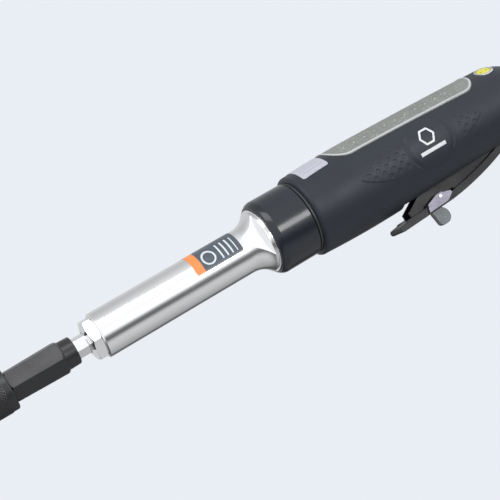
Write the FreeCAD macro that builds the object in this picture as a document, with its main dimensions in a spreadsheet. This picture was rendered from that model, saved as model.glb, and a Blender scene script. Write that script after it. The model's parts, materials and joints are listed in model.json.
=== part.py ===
"""Extended straight air tool: lever-throttled vane motor, planetary reduction, quick-change chuck.

The tool axis is X.  The origin is the mouth of the air inlet, the chuck points to -X, the throttle
lever hangs towards -Z.  All sizes are millimetres.
"""
import FreeCAD, Part
import Sketcher
import math
import os
import re

V = FreeCAD.Vector
PLANET_ANGLES = (90.0, 210.0, 330.0)

# ---------------------------------------------------------------- driving sizes
SIZES = {
    # clearances and fits
    "running_gap": 0.03,
    "joint_gap": 0.1,
    "wide_gap": 0.3,
    # inlet end
    "inlet_hex_flats": 17.0,
    "inlet_hex_length": 6.2,
    "inlet_thread_r": 5.7,
    "inlet_thread_depth": 12.0,
    "inlet_waist_r": 7.6,
    "inlet_stem_r": 7.0,
    "inlet_throat_r": 4.2,
    "inlet_stem_length": 13.0,
    "deflector_r": 16.4,
    "deflector_length": 6.3,
    "deflector_port_count": 10,
    "deflector_port_width": 2.4,
    # motor housing
    "housing_length": 172.0,
    "housing_r": 20.0,
    "housing_thread_r": 19.3,
    "housing_thread_length": 17.4,
    "motor_bore_r": 17.3,
    "motor_bore_depth": 70.0,
    "housing_taper_length": 27.0,
    "housing_tail_r": 15.2,
    "muffler_chamber_r": 13.4,
    "muffler_chamber_depth": 11.0,
    "inlet_boss_r": 8.6,
    "air_passage_r": 4.6,
    "supply_passage_r": 3.0,
    "supply_drop": 9.0,
    "exhaust_passage_r": 2.2,
    "exhaust_offset_y": 11.9,
    "exhaust_offset_z": 3.5,
    # rubber grip
    "grip_setback": 1.3,
    "grip_front_r": 23.3,
    "grip_belly_r": 24.4,
    "grip_waist_r": 23.6,
    "grip_shoulder_r": 22.5,
    "grip_tail_r": 17.0,
    "grip_belly_at": 42.0,
    "grip_waist_at": 92.0,
    "grip_tail_taper": 17.2,
    "grip_end_gap": 0.1,
    "grip_corner_length": 2.4,
    "grip_slot_half_width": 9.4,
    # insert and labels set into the grip
    "insert_front_at": 26.0,
    "insert_length": 100.0,
    "insert_half_width": 18.6,
    "insert_corner_r": 11.0,
    "insert_depth": 1.5,
    "label_at": 5.6,
    "label_length": 17.0,
    "label_half_width": 17.0,
    "label_thickness": 0.15,
    # clamp nut
    "nut_length": 23.6,
    "nut_r": 21.1,
    "nut_lip_r": 18.4,
    "nut_lip_length": 1.6,
    "nut_chamfer": 3.6,
    # neck housing
    "neck_length": 106.6,
    "neck_r": 12.35,
    "neck_flats": 24.66,
    "neck_flat_clock_deg": 10.0,
    "neck_bore_r": 6.8,
    "neck_nose_bearing_depth": 12.0,
    "flare_length": 11.4,
    "flare_end_r": 17.4,
    "neck_rim_r": 18.2,
    "neck_groove_length": 1.3,
    "neck_rim_length": 2.4,
    "neck_flange_r": 19.1,
    "neck_flange_length": 4.5,
    # nose cap
    "cap_hex_flats": 20.4,
    "cap_hex_length": 6.3,
    "cap_thread_r": 9.3,
    "cap_thread_length": 8.0,
    "cap_bore_r": 5.9,
    "seal_r": 8.0,
    "seal_length": 4.0,
    "hex_clock_deg": 7.0,
    # output spindle
    "spindle_thread_r": 4.7,
    "spindle_thread_length": 13.5,
    "spindle_hex_flats": 9.5,
    "spindle_hex_length": 6.4,
    "spindle_shaft_r": 6.4,
    "nose_bearing_bore_r": 6.0,
    "nose_bearing_outer_r": 9.0,
    "nose_bearing_width": 4.0,
    "neck_bearing_bore_r": 7.5,
    "neck_bearing_section": 4.5,
    "neck_bearing_width": 5.0,
    "carrier_r": 13.2,
    "carrier_thickness": 3.6,
    "nose_ball_r": 0.95,
    "neck_ball_r": 1.5,
    # planetary gears
    "gear_module": 0.7,
    "sun_teeth": 12,
    "planet_teeth": 15,
    "ring_teeth": 42,
    "gear_width": 7.0,
    "ring_outer_r": 17.2,
    "ring_length": 15.0,
    "planet_pin_r": 1.97,
    "retainer_thickness": 0.8,
    # vane motor
    "end_plate_thickness": 7.0,
    "rear_plate_thickness": 6.0,
    "rotor_length": 41.6,
    "liner_length": 41.8,
    "rotor_r": 13.0,
    "liner_bore_r": 14.6,
    "liner_offset": 1.4,
    "journal_r": 5.0,
    "rotor_bearing_outer_r": 9.5,
    "rotor_bearing_width": 5.0,
    "rotor_ball_r": 1.35,
    "vane_count": 5,
    "vane_thickness": 1.5,
    "vane_depth": 6.4,
    "dowel_r": 0.9,
    "dowel_orbit_r": 15.5,
    # quick-change chuck
    "chuck_length": 63.0,
    "chuck_nose_r": 8.6,
    "chuck_nose_length": 26.7,
    "chuck_barrel_length": 29.2,
    "chuck_hex_front_flats": 15.3,
    "chuck_hex_rear_flats": 16.4,
    "chuck_collar_r": 7.4,
    "socket_flats": 11.25,
    "socket_depth": 27.0,
    "sleeve_r": 11.2,
    "sleeve_length": 22.0,
    "sleeve_travel": 4.0,
    "sleeve_bore_r": 10.2,
    "sleeve_ramp_slope": 0.25,
    "detent_at": 18.0,
    "detent_ball_r": 2.0,
    "detent_orbit_r": 6.7,
    "chuck_spring_wire_r": 0.45,
    "chuck_spring_r": 9.4,
    # throttle lever group, measured from the lever pin
    "pin_at": 42.0,
    "pin_drop": 16.8,
    "pin_r": 1.6,
    "pin_half_length": 14.6,
    "lever_rest_deg": 2.5,
    "lever_reach": 80.9,
    "lever_drop": 14.7,
    "lever_flat_from": 44.0,
    "lever_height": 4.2,
    "lever_skin": 1.8,
    "lever_half_width": 7.4,
    "lip_thickness": 1.2,
    "web_front_reach": 70.4,
    "web_half_gap": 3.6,
    "web_thickness": 1.2,
    "slot_half_width": 5.6,
    "slot_roof_drop": 13.2,
    "lever_ear_r": 3.2,
    "tab_pin_reach": 50.5,
    "tab_pin_drop": 9.3,
    "tab_pin_r": 0.9,
    "tab_thickness": 3.4,
    "tab_spring_wire_r": 0.24,
    "bracket_thickness": 1.0,
    # throttle valve, on a vertical axis
    "valve_at": 78.0,
    "valve_bore_r": 5.4,
    "valve_bore_top": 13.0,
    "stem_r": 1.75,
    "stem_reach": 28.1,
    "bush_length": 4.0,
    "seat_hole_r": 3.0,
    "seat_thickness": 2.0,
    "seat_top": -2.4,
    "poppet_r": 4.3,
    "poppet_thickness": 1.8,
    "valve_spring_wire_r": 0.35,
    "valve_spring_r": 3.4,
    # speed regulator
    "regulator_at": 30.0,
    "regulator_tilt_deg": 62.0,
    "regulator_r": 4.2,
    "regulator_stem_r": 2.4,
    "bezel_r": 5.6,
    "regulator_face": 22.3,
}

# ---------------------------------------------------------------- places along X and other worked-out values
PLACES = {
    "housing_back": "-(inlet_hex_length + deflector_length + wide_gap * 2)",
    "housing_front": "housing_back - housing_length",
    "grip_front": "housing_front + housing_thread_length + grip_setback",
    "grip_length": "housing_length - housing_thread_length - grip_setback - grip_end_gap",
    "grip_shoulder_at": "grip_length - grip_tail_taper",
    "neck_back": "housing_front - joint_gap * 5",
    "neck_front": "neck_back - neck_length",
    "flare_end_at": "neck_length - neck_flange_length - neck_rim_length - neck_groove_length",
    "flare_start_at": "flare_end_at - flare_length",
    "nut_front": "neck_back - neck_flange_length - nut_lip_length - joint_gap",
    "cap_front": "neck_front - cap_hex_length",
    "nose_bearing_front": "neck_front + neck_nose_bearing_depth - nose_bearing_width",
    "neck_bearing_back": "neck_back - 2.5",
    "neck_bearing_front": "neck_bearing_back - neck_bearing_width",
    "spindle_hex_front": "cap_front - spindle_hex_length - joint_gap * 2",
    "chuck_back": "spindle_hex_front",
    "chuck_front": "chuck_back - chuck_length",
    "carrier_front": "neck_bearing_back + joint_gap * 4",
    "carrier_back": "carrier_front + carrier_thickness",
    "planet_front": "carrier_back + joint_gap * 2",
    "planet_back": "planet_front + gear_width",
    "ring_front": "housing_front + joint_gap",
    "front_plate_at": "ring_front + ring_length",
    "liner_at": "front_plate_at + end_plate_thickness",
    "rotor_at": "liner_at + (liner_length - rotor_length) / 2",
    "rear_plate_at": "liner_at + liner_length",
    "orbit": "gear_module * (sun_teeth + planet_teeth) / 2",
    "pin_x": "-pin_at",
    "valve_x": "-valve_at",
    "regulator_x": "-regulator_at",
    "sleeve_front": "chuck_front + chuck_nose_length - sleeve_length",
    "detent_x": "chuck_front + detent_at",
    "neck_bearing_outer_r": "neck_bearing_bore_r + neck_bearing_section",
    "nose_pitch": "(nose_bearing_bore_r + nose_bearing_outer_r) / 2",
    "neck_pitch": "(neck_bearing_bore_r + neck_bearing_outer_r) / 2",
    "rotor_pitch": "(journal_r + rotor_bearing_outer_r) / 2",
}

doc = FreeCAD.newDocument("straight_air_tool")
sheet = doc.addObject("Spreadsheet::Sheet", "Dims")
nodes = {}


def fill_sheet():
    """One row per driving size: its name, its number and the alias that the features use."""
    for row, (name, number) in enumerate(SIZES.items(), start=1):
        sheet.set(f"A{row}", name)
        sheet.set(f"B{row}", str(number))
        sheet.setAlias(f"B{row}", name)
    doc.recompute()


def bind(text):
    """Spell a formula in named sizes as an expression on the sheet."""
    def swap(match):
        word = match.group(0)
        if word in SIZES:
            return "Dims." + word
        if word in PLACES:
            return "(" + bind(PLACES[word]) + ")"
        return word
    return re.sub(r"[a-z_]+[a-z]\b(?!\()", swap, str(text))


def value(text):
    """The number that a formula has now."""
    return float(sheet.evalExpression(bind(text)))


def keep(name, piece):
    """Register a finished piece under the name of its node."""
    piece.Label = name
    nodes[name] = piece
    return piece


def place(piece, along="0", across="0", up="0", turn=None):
    """Seat a piece: its position follows the sheet, its turn is fixed."""
    if turn is not None:
        piece.Placement = FreeCAD.Placement(V(0, 0, 0), turn)
    for axis, text in (("x", along), ("y", across), ("z", up)):
        if text != "0":
            piece.setExpression("Placement.Base." + axis, bind(text))
    return piece


# ---------------------------------------------------------------- sketch based solids
def pin_point(sketch, geometry, end, point):
    """Hold one sketch point at its two formulas."""
    for kind, text, axis in (("DistanceX", point[0], -2), ("DistanceY", point[1], -1)):
        if text == "0":
            sketch.addConstraint(Sketcher.Constraint("PointOnObject", geometry, end, axis))
        else:
            held = Sketcher.Constraint(kind, -1, 1, geometry, end, value(text))
            index = sketch.addConstraint(held)
            sketch.setExpression(f"Constraints[{index}]", bind(text))


def outline_sketch(body, name, outline, plane="XZ_Plane"):
    """Closed outline on a body's own plane.

    Each entry is (along, out) for a straight edge that ends there, or
    (along, out, via_along, via_out) for an arc that ends there and runs through the via point.
    """
    sketch = body.newObject("Sketcher::SketchObject", name)
    support = [o for o in body.Origin.OriginFeatures if o.Role == plane][0]
    sketch.AttachmentSupport = (support, [""])
    sketch.MapMode = "FlatFace"
    ends = [V(value(p[0]), value(p[1]), 0) for p in outline]
    starts = []
    stops = []
    for index, entry in enumerate(outline):
        begin, finish = ends[index - 1], ends[index]
        if len(entry) == 4:
            via = V(value(entry[2]), value(entry[3]), 0)
            edge = sketch.addGeometry(Part.Arc(begin, via, finish))
            turned_round = (sketch.getPoint(edge, 1) - begin).Length > (sketch.getPoint(edge,
                    2) - begin).Length
            starts.append((edge, 2 if turned_round else 1))
            stops.append((edge, 1 if turned_round else 2))
        else:
            edge = sketch.addGeometry(Part.LineSegment(begin, finish))
            starts.append((edge, 1))
            stops.append((edge, 2))
    for index, entry in enumerate(outline):
        following = (index + 1) % len(outline)
        sketch.addConstraint(Sketcher.Constraint("Coincident", *stops[index], *starts[following]))
        pin_point(sketch, *stops[index], entry)
        if len(entry) == 4:
            via = sketch.addGeometry(Part.Point(V(value(entry[2]), value(entry[3]), 0)), True)
            pin_point(sketch, via, 1, entry[2:])
            sketch.addConstraint(Sketcher.Constraint("PointOnObject", via, 1, stops[index][0]))
    return sketch


def turned(name, outline, along="0", turn=None):
    """Solid of revolution about its own X axis from (along, radius) points."""
    body = doc.addObject("PartDesign::Body", name)
    sketch = outline_sketch(body, name + "_profile", outline)
    spin = body.newObject("PartDesign::Revolution", name + "_turning")
    spin.Profile = sketch
    spin.ReferenceAxis = (sketch, ["H_Axis"])
    spin.Angle = 360
    return place(body, along, turn=turn)


def slab(name, outline, thickness, offset="0", plane="XZ_Plane"):
    """Flat solid padded evenly to both sides of its plane, then shifted across by offset."""
    body = doc.addObject("PartDesign::Body", name)
    sketch = outline_sketch(body, name + "_outline", outline, plane)
    pad = body.newObject("PartDesign::Pad", name + "_pad")
    pad.Profile = sketch
    pad.Midplane = True
    pad.setExpression("Length", bind(thickness))
    return place(body, across=offset)


def ring(name, length, outer, inner, along="0", turn=None):
    """Plain tube."""
    outline = [("0", inner), ("0", outer), (length, outer), (length, inner)]
    return turned(name, outline, along, turn)


def rod(name, radius, length, along="0", across="0", up="0", direction=V(1, 0, 0)):
    """Plain cylinder that starts at the given place and runs along a direction."""
    cylinder = doc.addObject("Part::Cylinder", name)
    cylinder.setExpression("Radius", bind(radius))
    cylinder.setExpression("Height", bind(length))
    return place(cylinder, along, across, up, FreeCAD.Rotation(V(0, 0, 1), direction))


def block(name, along, across, up, size):
    """Plain box from its low corner."""
    box = doc.addObject("Part::Box", name)
    for side, text in zip(("Length", "Width", "Height"), size):
        box.setExpression(side, bind(text))
    return place(box, along, across, up)


def hex_bar(name, flats, length, along="0", clock_deg=0.0):
    """Six-sided bar along X; the clock angle turns a corner down from the -Y side."""
    prism = doc.addObject("Part::Prism", name)
    prism.Polygon = 6
    prism.setExpression("Circumradius", bind(f"({flats}) / 2 / cos(30 deg)"))
    prism.setExpression("Height", bind(length))
    lay_down = FreeCAD.Rotation(V(0, 0, 1), V(1, 0, 0))
    corner = lay_down.multVec(V(1, 0, 0))
    aim = FreeCAD.Rotation(V(1, 0, 0), clock_deg).multVec(V(0, -1, 0))
    angle = math.degrees(math.atan2(corner.cross(aim).x, corner.dot(aim)))
    return place(prism, along, turn=FreeCAD.Rotation(V(1, 0, 0), angle).multiply(lay_down))


def cut(name, base, tools):
    """Base less each tool."""
    for index, tool in enumerate(tools):
        step = doc.addObject("Part::Cut", f"{name}_cut{index}")
        step.Base = base
        step.Tool = tool
        base = step
    return base


def fuse(name, pieces):
    """Pieces joined into one solid."""
    joined = doc.addObject("Part::MultiFuse", name + "_joined")
    joined.Shapes = pieces
    return joined


def common(name, first, second):
    """What two pieces share."""
    shared = doc.addObject("Part::Common", name + "_shared")
    shared.Base = first
    shared.Tool = second
    return shared


def group(name, pieces):
    """Separate solids kept in one node."""
    bundle = doc.addObject("Part::Compound", name + "_group")
    bundle.Links = pieces
    return bundle


def shaped(name, shape, along=0.0, turn=None):
    """Piece whose outline comes from a formula."""
    feature = doc.addObject("Part::Feature", name)
    feature.Shape = shape
    feature.Placement = FreeCAD.Placement(V(along, 0, 0), turn or FreeCAD.Rotation())
    return feature


def coil(name, wire_r, mean_r, free_length, turns, along, turn=None):
    """Helical spring along its own X axis."""
    body = doc.addObject("PartDesign::Body", name)
    sketch = body.newObject("Sketcher::SketchObject", name + "_wire")
    support = [o for o in body.Origin.OriginFeatures if o.Role == "XZ_Plane"][0]
    sketch.AttachmentSupport = (support, [""])
    sketch.MapMode = "FlatFace"
    centre = V(value(wire_r), value(mean_r), 0)
    wire = sketch.addGeometry(Part.Circle(centre, V(0, 0, 1), value(wire_r)))
    pin_point(sketch, wire, 3, (wire_r, mean_r))
    index = sketch.addConstraint(Sketcher.Constraint("Radius", wire, value(wire_r)))
    sketch.setExpression(f"Constraints[{index}]", bind(wire_r))
    doc.recompute()
    helix = body.newObject("PartDesign::AdditiveHelix", name + "_coil")
    helix.Profile = sketch
    helix.ReferenceAxis = (sketch, ["H_Axis"])
    helix.Mode = "height-turns-angle"
    helix.setExpression("Height", bind(f"{free_length} - 2 * {wire_r}"))
    helix.Turns = turns
    return place(body, along, turn=turn)


def orbit_points(count, radius, start_deg=0.0):
    """Evenly spaced (y, z) places around X."""
    for step in range(count):
        angle = math.radians(start_deg + 360.0 * step / count)
        yield radius * math.cos(angle), radius * math.sin(angle)


def ball_ring(name, ball_r, pitch, along, count):
    """Rolling balls of one bearing, as separate solids."""
    balls = []
    for step in range(count):
        ball = doc.addObject("Part::Sphere", f"{name}_{step}")
        ball.setExpression("Radius", bind(ball_r))
        angle = 360.0 * step / count
        place(ball, along, f"({pitch}) * cos({angle} deg)", f"({pitch}) * sin({angle} deg)")
        balls.append(ball)
    return keep(name, group(name, balls))


def bearing(prefix, bore, outer, width, pitch, ball_r, along, count):
    """Deep-groove bearing: inner race, outer race and balls."""
    track = f"({ball_r} + running_gap)"
    shoulder = f"(0.5 * {ball_r})"
    half_chord = f"sqrt({track} * {track} - {shoulder} * {shoulder})"
    middle = f"({width}) / 2"
    inner_top = f"{pitch} - {shoulder}"
    outer_top = f"{pitch} + {shoulder}"
    inner = [("0", bore), ("0", inner_top), (f"{middle} - {half_chord}", inner_top),
             (f"{middle} + {half_chord}", inner_top, middle, f"{pitch} - {track}"),
             (width, inner_top), (width, bore)]
    outside = [("0", outer), ("0", outer_top), (f"{middle} - {half_chord}", outer_top),
               (f"{middle} + {half_chord}", outer_top, middle, f"{pitch} + {track}"),
               (width, outer_top), (width, outer)]
    keep(prefix + "_bearing_inner", turned(prefix + "_bearing_inner", inner, along))
    keep(prefix + "_bearing_outer", turned(prefix + "_bearing_outer", outside, along))
    ball_ring(prefix + "_bearing_balls", ball_r, pitch, f"{along} + {middle}", count)


# ---------------------------------------------------------------- gears
def gear_face(teeth, module, addendum, dedendum, thinning, start_deg=0.0):
    """Flat spur-gear face in the YZ plane with involute flanks; a tooth is centred at start_deg."""
    pitch_r = module * teeth / 2
    base_r = pitch_r * math.cos(math.radians(20))
    tip_r = pitch_r + addendum
    root_r = pitch_r - dedendum

    def roll(radius):
        if radius <= base_r:
            return 0.0
        angle = math.acos(base_r / radius)
        return math.tan(angle) - angle

    half_at_pitch = (math.pi * module / 2 - thinning) / 2 / pitch_r
    flank_r = [max(root_r, base_r) + (tip_r - max(root_r, base_r)) * share for share in (0, 0.3, 0.65, 1)]
    flank = [(r, half_at_pitch + roll(pitch_r) - roll(r)) for r in flank_r]
    points = []
    for tooth in range(teeth):
        centre = math.radians(start_deg) + 2 * math.pi * tooth / teeth
        foot = [(root_r, flank[0][1])] if root_r < base_r else []
        side = foot + flank
        for radius, half in side:
            points.append((radius, centre - half))
        for radius, half in reversed(side):
            points.append((radius, centre + half))
    corners = [V(0, r * math.cos(a), r * math.sin(a)) for r, a in points]
    return Part.Face(Part.makePolygon(corners + corners[:1]))


def toothed(name, teeth, width, start_deg, along):
    """External gear blank of the common module."""
    module = value("gear_module")
    face = gear_face(teeth, module, 0.95 * module, 1.25 * module, 0.09, start_deg)
    return shaped(name, face.extrude(V(width, 0, 0)), along)


def build_gears():
    """Ring gear, three planets, their pins and the washer plate that keeps them on."""
    module = value("gear_module")
    ring_teeth = int(value("ring_teeth"))
    half_pitch_deg = 180.0 / ring_teeth
    space = gear_face(ring_teeth, module, 1.15 * module, 0.95 * module, -0.09, 90.0)
    teeth_hole = shaped("ring_gear_teeth", space.extrude(V(value("ring_length") + 2, 0, 0)),
                        value("ring_front") - 1)
    blank = ring("ring_gear_blank", "ring_length", "ring_outer_r", "gear_module * 5", "ring_front")
    keep("ring_gear", cut("ring_gear", blank, [teeth_hole]))
    planet_teeth = int(value("planet_teeth"))
    pins = []
    for number, angle in enumerate(PLANET_ANGLES, start=1):
        name = f"planet_gear_{number}"
        gap_turn = angle + 180.0 + 180.0 / planet_teeth
        across = f"orbit * cos({angle} deg)"
        up = f"orbit * sin({angle} deg)"
        wheel = toothed(name + "_wheel", planet_teeth, value("gear_width"), gap_turn, 0)
        place(wheel, "planet_front", across, up)
        bore = rod(name + "_bore", "planet_pin_r + running_gap", "gear_width + 2", "planet_front - 1", across,
                   up)
        keep(name, cut(name, wheel, [bore]))
        length = "carrier_thickness + gear_width + retainer_thickness + 0.6"
        pins.append(rod(f"planet_pin_{number}", "planet_pin_r", length, "carrier_front + 0.2", across, up))
    keep("planet_pins", group("planet_pins", pins))
    plate = ring("planet_retainer_plate", "retainer_thickness", "carrier_r - 0.6", "6.4",
                 "planet_back + joint_gap * 2")
    holes = [rod(f"retainer_hole_{n}", "planet_pin_r", "3", "planet_back - 0.5",
                 f"orbit * cos({a} deg)", f"orbit * sin({a} deg)")
             for n, a in enumerate(PLANET_ANGLES)]
    keep("planet_retainer", cut("planet_retainer", plate, holes))


# ---------------------------------------------------------------- vane motor
def build_motor():
    """Rotor with its sun pinion, vanes, liner, end plates and the dowel that lines them up."""
    nose = "rotor_at - planet_front"
    body = turned("rotor_turning", [
        ("0", "0"), ("0", "gear_module * sun_teeth / 2 - gear_module * 1.25"),
        (f"{nose} - end_plate_thickness + 0.6", "gear_module * sun_teeth / 2 - gear_module * 1.25"),
        (f"{nose} - end_plate_thickness + 0.6", "journal_r"), (nose, "journal_r"),
        (nose, "rotor_r"), (f"{nose} + rotor_length", "rotor_r"),
        (f"{nose} + rotor_length", "journal_r"),
        (f"{nose} + rotor_length + rear_plate_thickness - 0.4", "journal_r"),
        (f"{nose} + rotor_length + rear_plate_thickness - 0.4", "0")], "planet_front")
    pinion_length = value(f"{nose} - end_plate_thickness + 0.6")
    pinion = toothed("sun_pinion", int(value("sun_teeth")), pinion_length, 90.0, value("planet_front"))
    slots = []
    vanes = []
    count = int(value("vane_count"))
    for step in range(count):
        turn = FreeCAD.Rotation(V(1, 0, 0), 360.0 * step / count)
        slot_width = "vane_thickness + running_gap * 2"
        slot = block(f"vane_slot_{step}", "0", "0", "0", ("rotor_length + 2", slot_width, "vane_depth + 3"))
        vane = block(f"vane_{step}", "0", "0", "0", ("rotor_length - 0.2", "vane_thickness", "vane_depth"))
        for piece, low, wide, start in ((slot, "rotor_r - vane_depth - 0.2", slot_width, -1.0),
                                        (vane, "rotor_r - vane_depth - 0.1", "vane_thickness", 0.1)):
            corner = turn.multVec(V(0, -value(wide) / 2, value(low)))
            piece.Placement = FreeCAD.Placement(V(value("rotor_at") + start, corner.y, corner.z), turn)
        slots.append(slot)
        vanes.append(vane)
    keep("rotor", cut("rotor", fuse("rotor", [body, pinion]), slots))
    keep("vanes", group("vanes", vanes))

    barrel = ring("liner_barrel", "liner_length", "motor_bore_r - 0.1", "0.5", "liner_at")
    chamber = rod("liner_chamber", "liner_bore_r", "liner_length + 2", "liner_at - 1", up="-liner_offset")
    dowel_hole = rod("liner_dowel_hole", "dowel_r", "liner_length + 2", "liner_at - 1", up="dowel_orbit_r")
    ports = []
    for step in range(4):
        along = f"liner_at + liner_length * {0.2 + 0.2 * step}"
        ports.append(rod(f"liner_port_{step}", "1.6", "10", along, "12", "0", V(0, 1, 0)))
    keep("cylinder_liner", cut("cylinder_liner", barrel, [chamber, dowel_hole] + ports))

    for name, along, thick, seat in (
            ("front_plate", "front_plate_at", "end_plate_thickness",
             "end_plate_thickness - rotor_bearing_width - 1"),
            ("rear_plate", "rear_plate_at", "rear_plate_thickness", "0.8")):
        seat_end = f"{seat} + rotor_bearing_width"
        outline = [("0", "journal_r + 0.4"), ("0", "motor_bore_r - 0.1"), (thick, "motor_bore_r - 0.1")]
        if name == "front_plate":
            outline[0] = ("0", "rotor_bearing_outer_r")
            outline += [(thick, "journal_r + 0.4"), (seat_end, "journal_r + 0.4"),
                        (seat_end, "rotor_bearing_outer_r")]
        else:
            outline += [(thick, "rotor_bearing_outer_r"), (seat, "rotor_bearing_outer_r"),
                        (seat, "journal_r + 0.4")]
        plate = turned(name + "_disc", outline, along)
        tools = [rod(name + "_dowel_hole", "dowel_r", "12", f"{along} - 1", up="dowel_orbit_r")]
        if name == "rear_plate":
            for side in (-1, 1):
                tools.append(rod(f"rear_plate_exhaust_{side + 1}", "exhaust_passage_r", "12", f"{along} - 1",
                                 f"exhaust_offset_y * {side}", "exhaust_offset_z"))
            tools.append(rod("rear_plate_supply", "2", "12", f"{along} - 1", up="-12.4"))
        keep(name, cut(name, plate, tools))
    length = "end_plate_thickness + liner_length + rear_plate_thickness - 1"
    keep("liner_dowel", rod("liner_dowel", "dowel_r", length, "front_plate_at + 0.5", up="dowel_orbit_r"))
    bearing("rotor_front", "journal_r", "rotor_bearing_outer_r", "rotor_bearing_width", "rotor_pitch",
            "rotor_ball_r", "front_plate_at + end_plate_thickness - rotor_bearing_width - 1", 8)
    bearing("rotor_rear", "journal_r", "rotor_bearing_outer_r", "rotor_bearing_width", "rotor_pitch",
            "rotor_ball_r", "rear_plate_at + 0.8", 8)


# ---------------------------------------------------------------- housing and grip
def build_housing():
    """Motor housing: motor bore, air and exhaust passages, valve bore, lever slot and muffler chamber."""
    taper_at = "housing_length - housing_taper_length"
    chamber_at = "housing_length - muffler_chamber_depth"
    solid = turned("housing_turning", [
        ("0", "motor_bore_r"), ("0", "housing_thread_r"),
        ("housing_thread_length", "housing_thread_r"), ("housing_thread_length", "housing_r + 0.7"),
        ("housing_thread_length + grip_setback - 0.1", "housing_r + 0.7"),
        ("housing_thread_length + grip_setback - 0.1", "housing_r"),
        (taper_at, "housing_r"), ("housing_length", "housing_tail_r"),
        ("housing_length", "muffler_chamber_r"), (chamber_at, "muffler_chamber_r"),
        (chamber_at, "inlet_boss_r"), ("housing_length - 0.6", "inlet_boss_r"),
        ("housing_length - 0.6", "0"), ("motor_bore_depth", "0"), ("motor_bore_depth", "motor_bore_r")],
        "housing_front")
    rear = "housing_back + 2"
    tools = [
        rod("inlet_thread_hole", "inlet_stem_r", "inlet_stem_length + 2",
            "housing_back - inlet_stem_length - 0.4"),
        rod("air_passage", "air_passage_r", f"{rear} - valve_x", "valve_x"),
        rod("valve_bore", "valve_bore_r", "valve_bore_top + housing_r", "valve_x", up="-housing_r",
            direction=V(0, 0, 1)),
        rod("supply_passage", "supply_passage_r", "valve_x - housing_front - motor_bore_depth + 1",
            "housing_front + motor_bore_depth - 1", up="-supply_drop"),
        block("lever_slot", "housing_front + motor_bore_depth + 1.5", "-slot_half_width", "-housing_r - 1",
              ("pin_x + lever_ear_r + 2.6 - housing_front - motor_bore_depth - 1.5", "slot_half_width * 2",
               "housing_r + 1 - slot_roof_drop")),
        rod("lever_pin_hole", "pin_r", "housing_r * 2", "pin_x", "-housing_r", "-pin_drop", V(0, 1, 0)),
        rod("regulator_hole", "regulator_stem_r + 0.2", "housing_r + 5", "regulator_x",
            direction=regulator_axis()),
        rod("regulator_seat", "bezel_r + 0.1", "8", "regulator_x",
            "-cos(regulator_tilt_deg * 1 deg) * (regulator_face - 4.6)",
            "sin(regulator_tilt_deg * 1 deg) * (regulator_face - 4.6)", regulator_axis()),
    ]
    for side in (-1, 1):
        length = "housing_length - motor_bore_depth - muffler_chamber_depth + 2"
        tools.append(rod(f"exhaust_passage_{side + 1}", "exhaust_passage_r", length,
                         "housing_front + motor_bore_depth - 1", f"exhaust_offset_y * {side}",
                         "exhaust_offset_z"))
    keep("motor_housing", cut("motor_housing", solid, tools))


def grip_skin(name, offset, inner=None):
    """The grip's outer form, grown or shrunk by offset; inner gives the bore line, or a full solid."""
    corner = "grip_corner_length"
    outline = [
        (corner, f"grip_front_r + ({offset})"),
        ("grip_belly_at", f"grip_belly_r + ({offset})", "grip_belly_at * 0.5",
         f"grip_belly_r - 0.25 + ({offset})"),
        ("grip_shoulder_at", f"grip_shoulder_r + ({offset})", "grip_waist_at", f"grip_waist_r + ({offset})"),
        ("grip_length", f"grip_tail_r + ({offset})", "grip_shoulder_at + 10",
         f"grip_shoulder_r - 2 + ({offset})"),
    ]
    if inner == "bore":
        outline += [("grip_length", "housing_tail_r + 0.1"),
                    ("housing_length - housing_taper_length - housing_thread_length - grip_setback",
                     "housing_r + 0.05"),
                    ("0", "housing_r + 0.05"), ("0", f"grip_front_r - 1.6 + ({offset})"),
                    (corner, f"grip_front_r + ({offset})", "0.7", f"grip_front_r - 0.45 + ({offset})")]
        outline = outline[1:]
    else:
        outline += [("grip_length", "0"), (corner, "0")]
    return turned(name, outline, "grip_front")


def top_prism(name, front, length, half_width, corner):
    """Upright prism with round corners over the top of the grip."""
    far = f"{front} + {length}"
    bend = f"({corner}) * (1 - cos(45 deg))"
    outline = [
        (f"{front} + {corner}", f"-({half_width})"), (f"{far} - ({corner})", f"-({half_width})"),
        (far, f"{corner} - ({half_width})", f"{far} - {bend}", f"{bend} - ({half_width})"),
        (far, f"{half_width} - ({corner})"),
        (f"{far} - ({corner})", half_width, f"{far} - {bend}", f"{half_width} - {bend}"),
        (f"{front} + {corner}", half_width),
        (front, f"{half_width} - ({corner})", f"{front} + {bend}", f"{half_width} - {bend}"),
        (front, f"{corner} - ({half_width})"),
        (f"{front} + {corner}", f"-({half_width})", f"{front} + {bend}", f"{bend} - ({half_width})")]
    body = doc.addObject("PartDesign::Body", name)
    sketch = outline_sketch(body, name + "_outline", outline[1:], "XY_Plane")
    pad = body.newObject("PartDesign::Pad", name + "_pad")
    pad.Profile = sketch
    pad.setExpression("Length", bind("grip_belly_r + 6"))
    return place(body, "grip_front")


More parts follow.
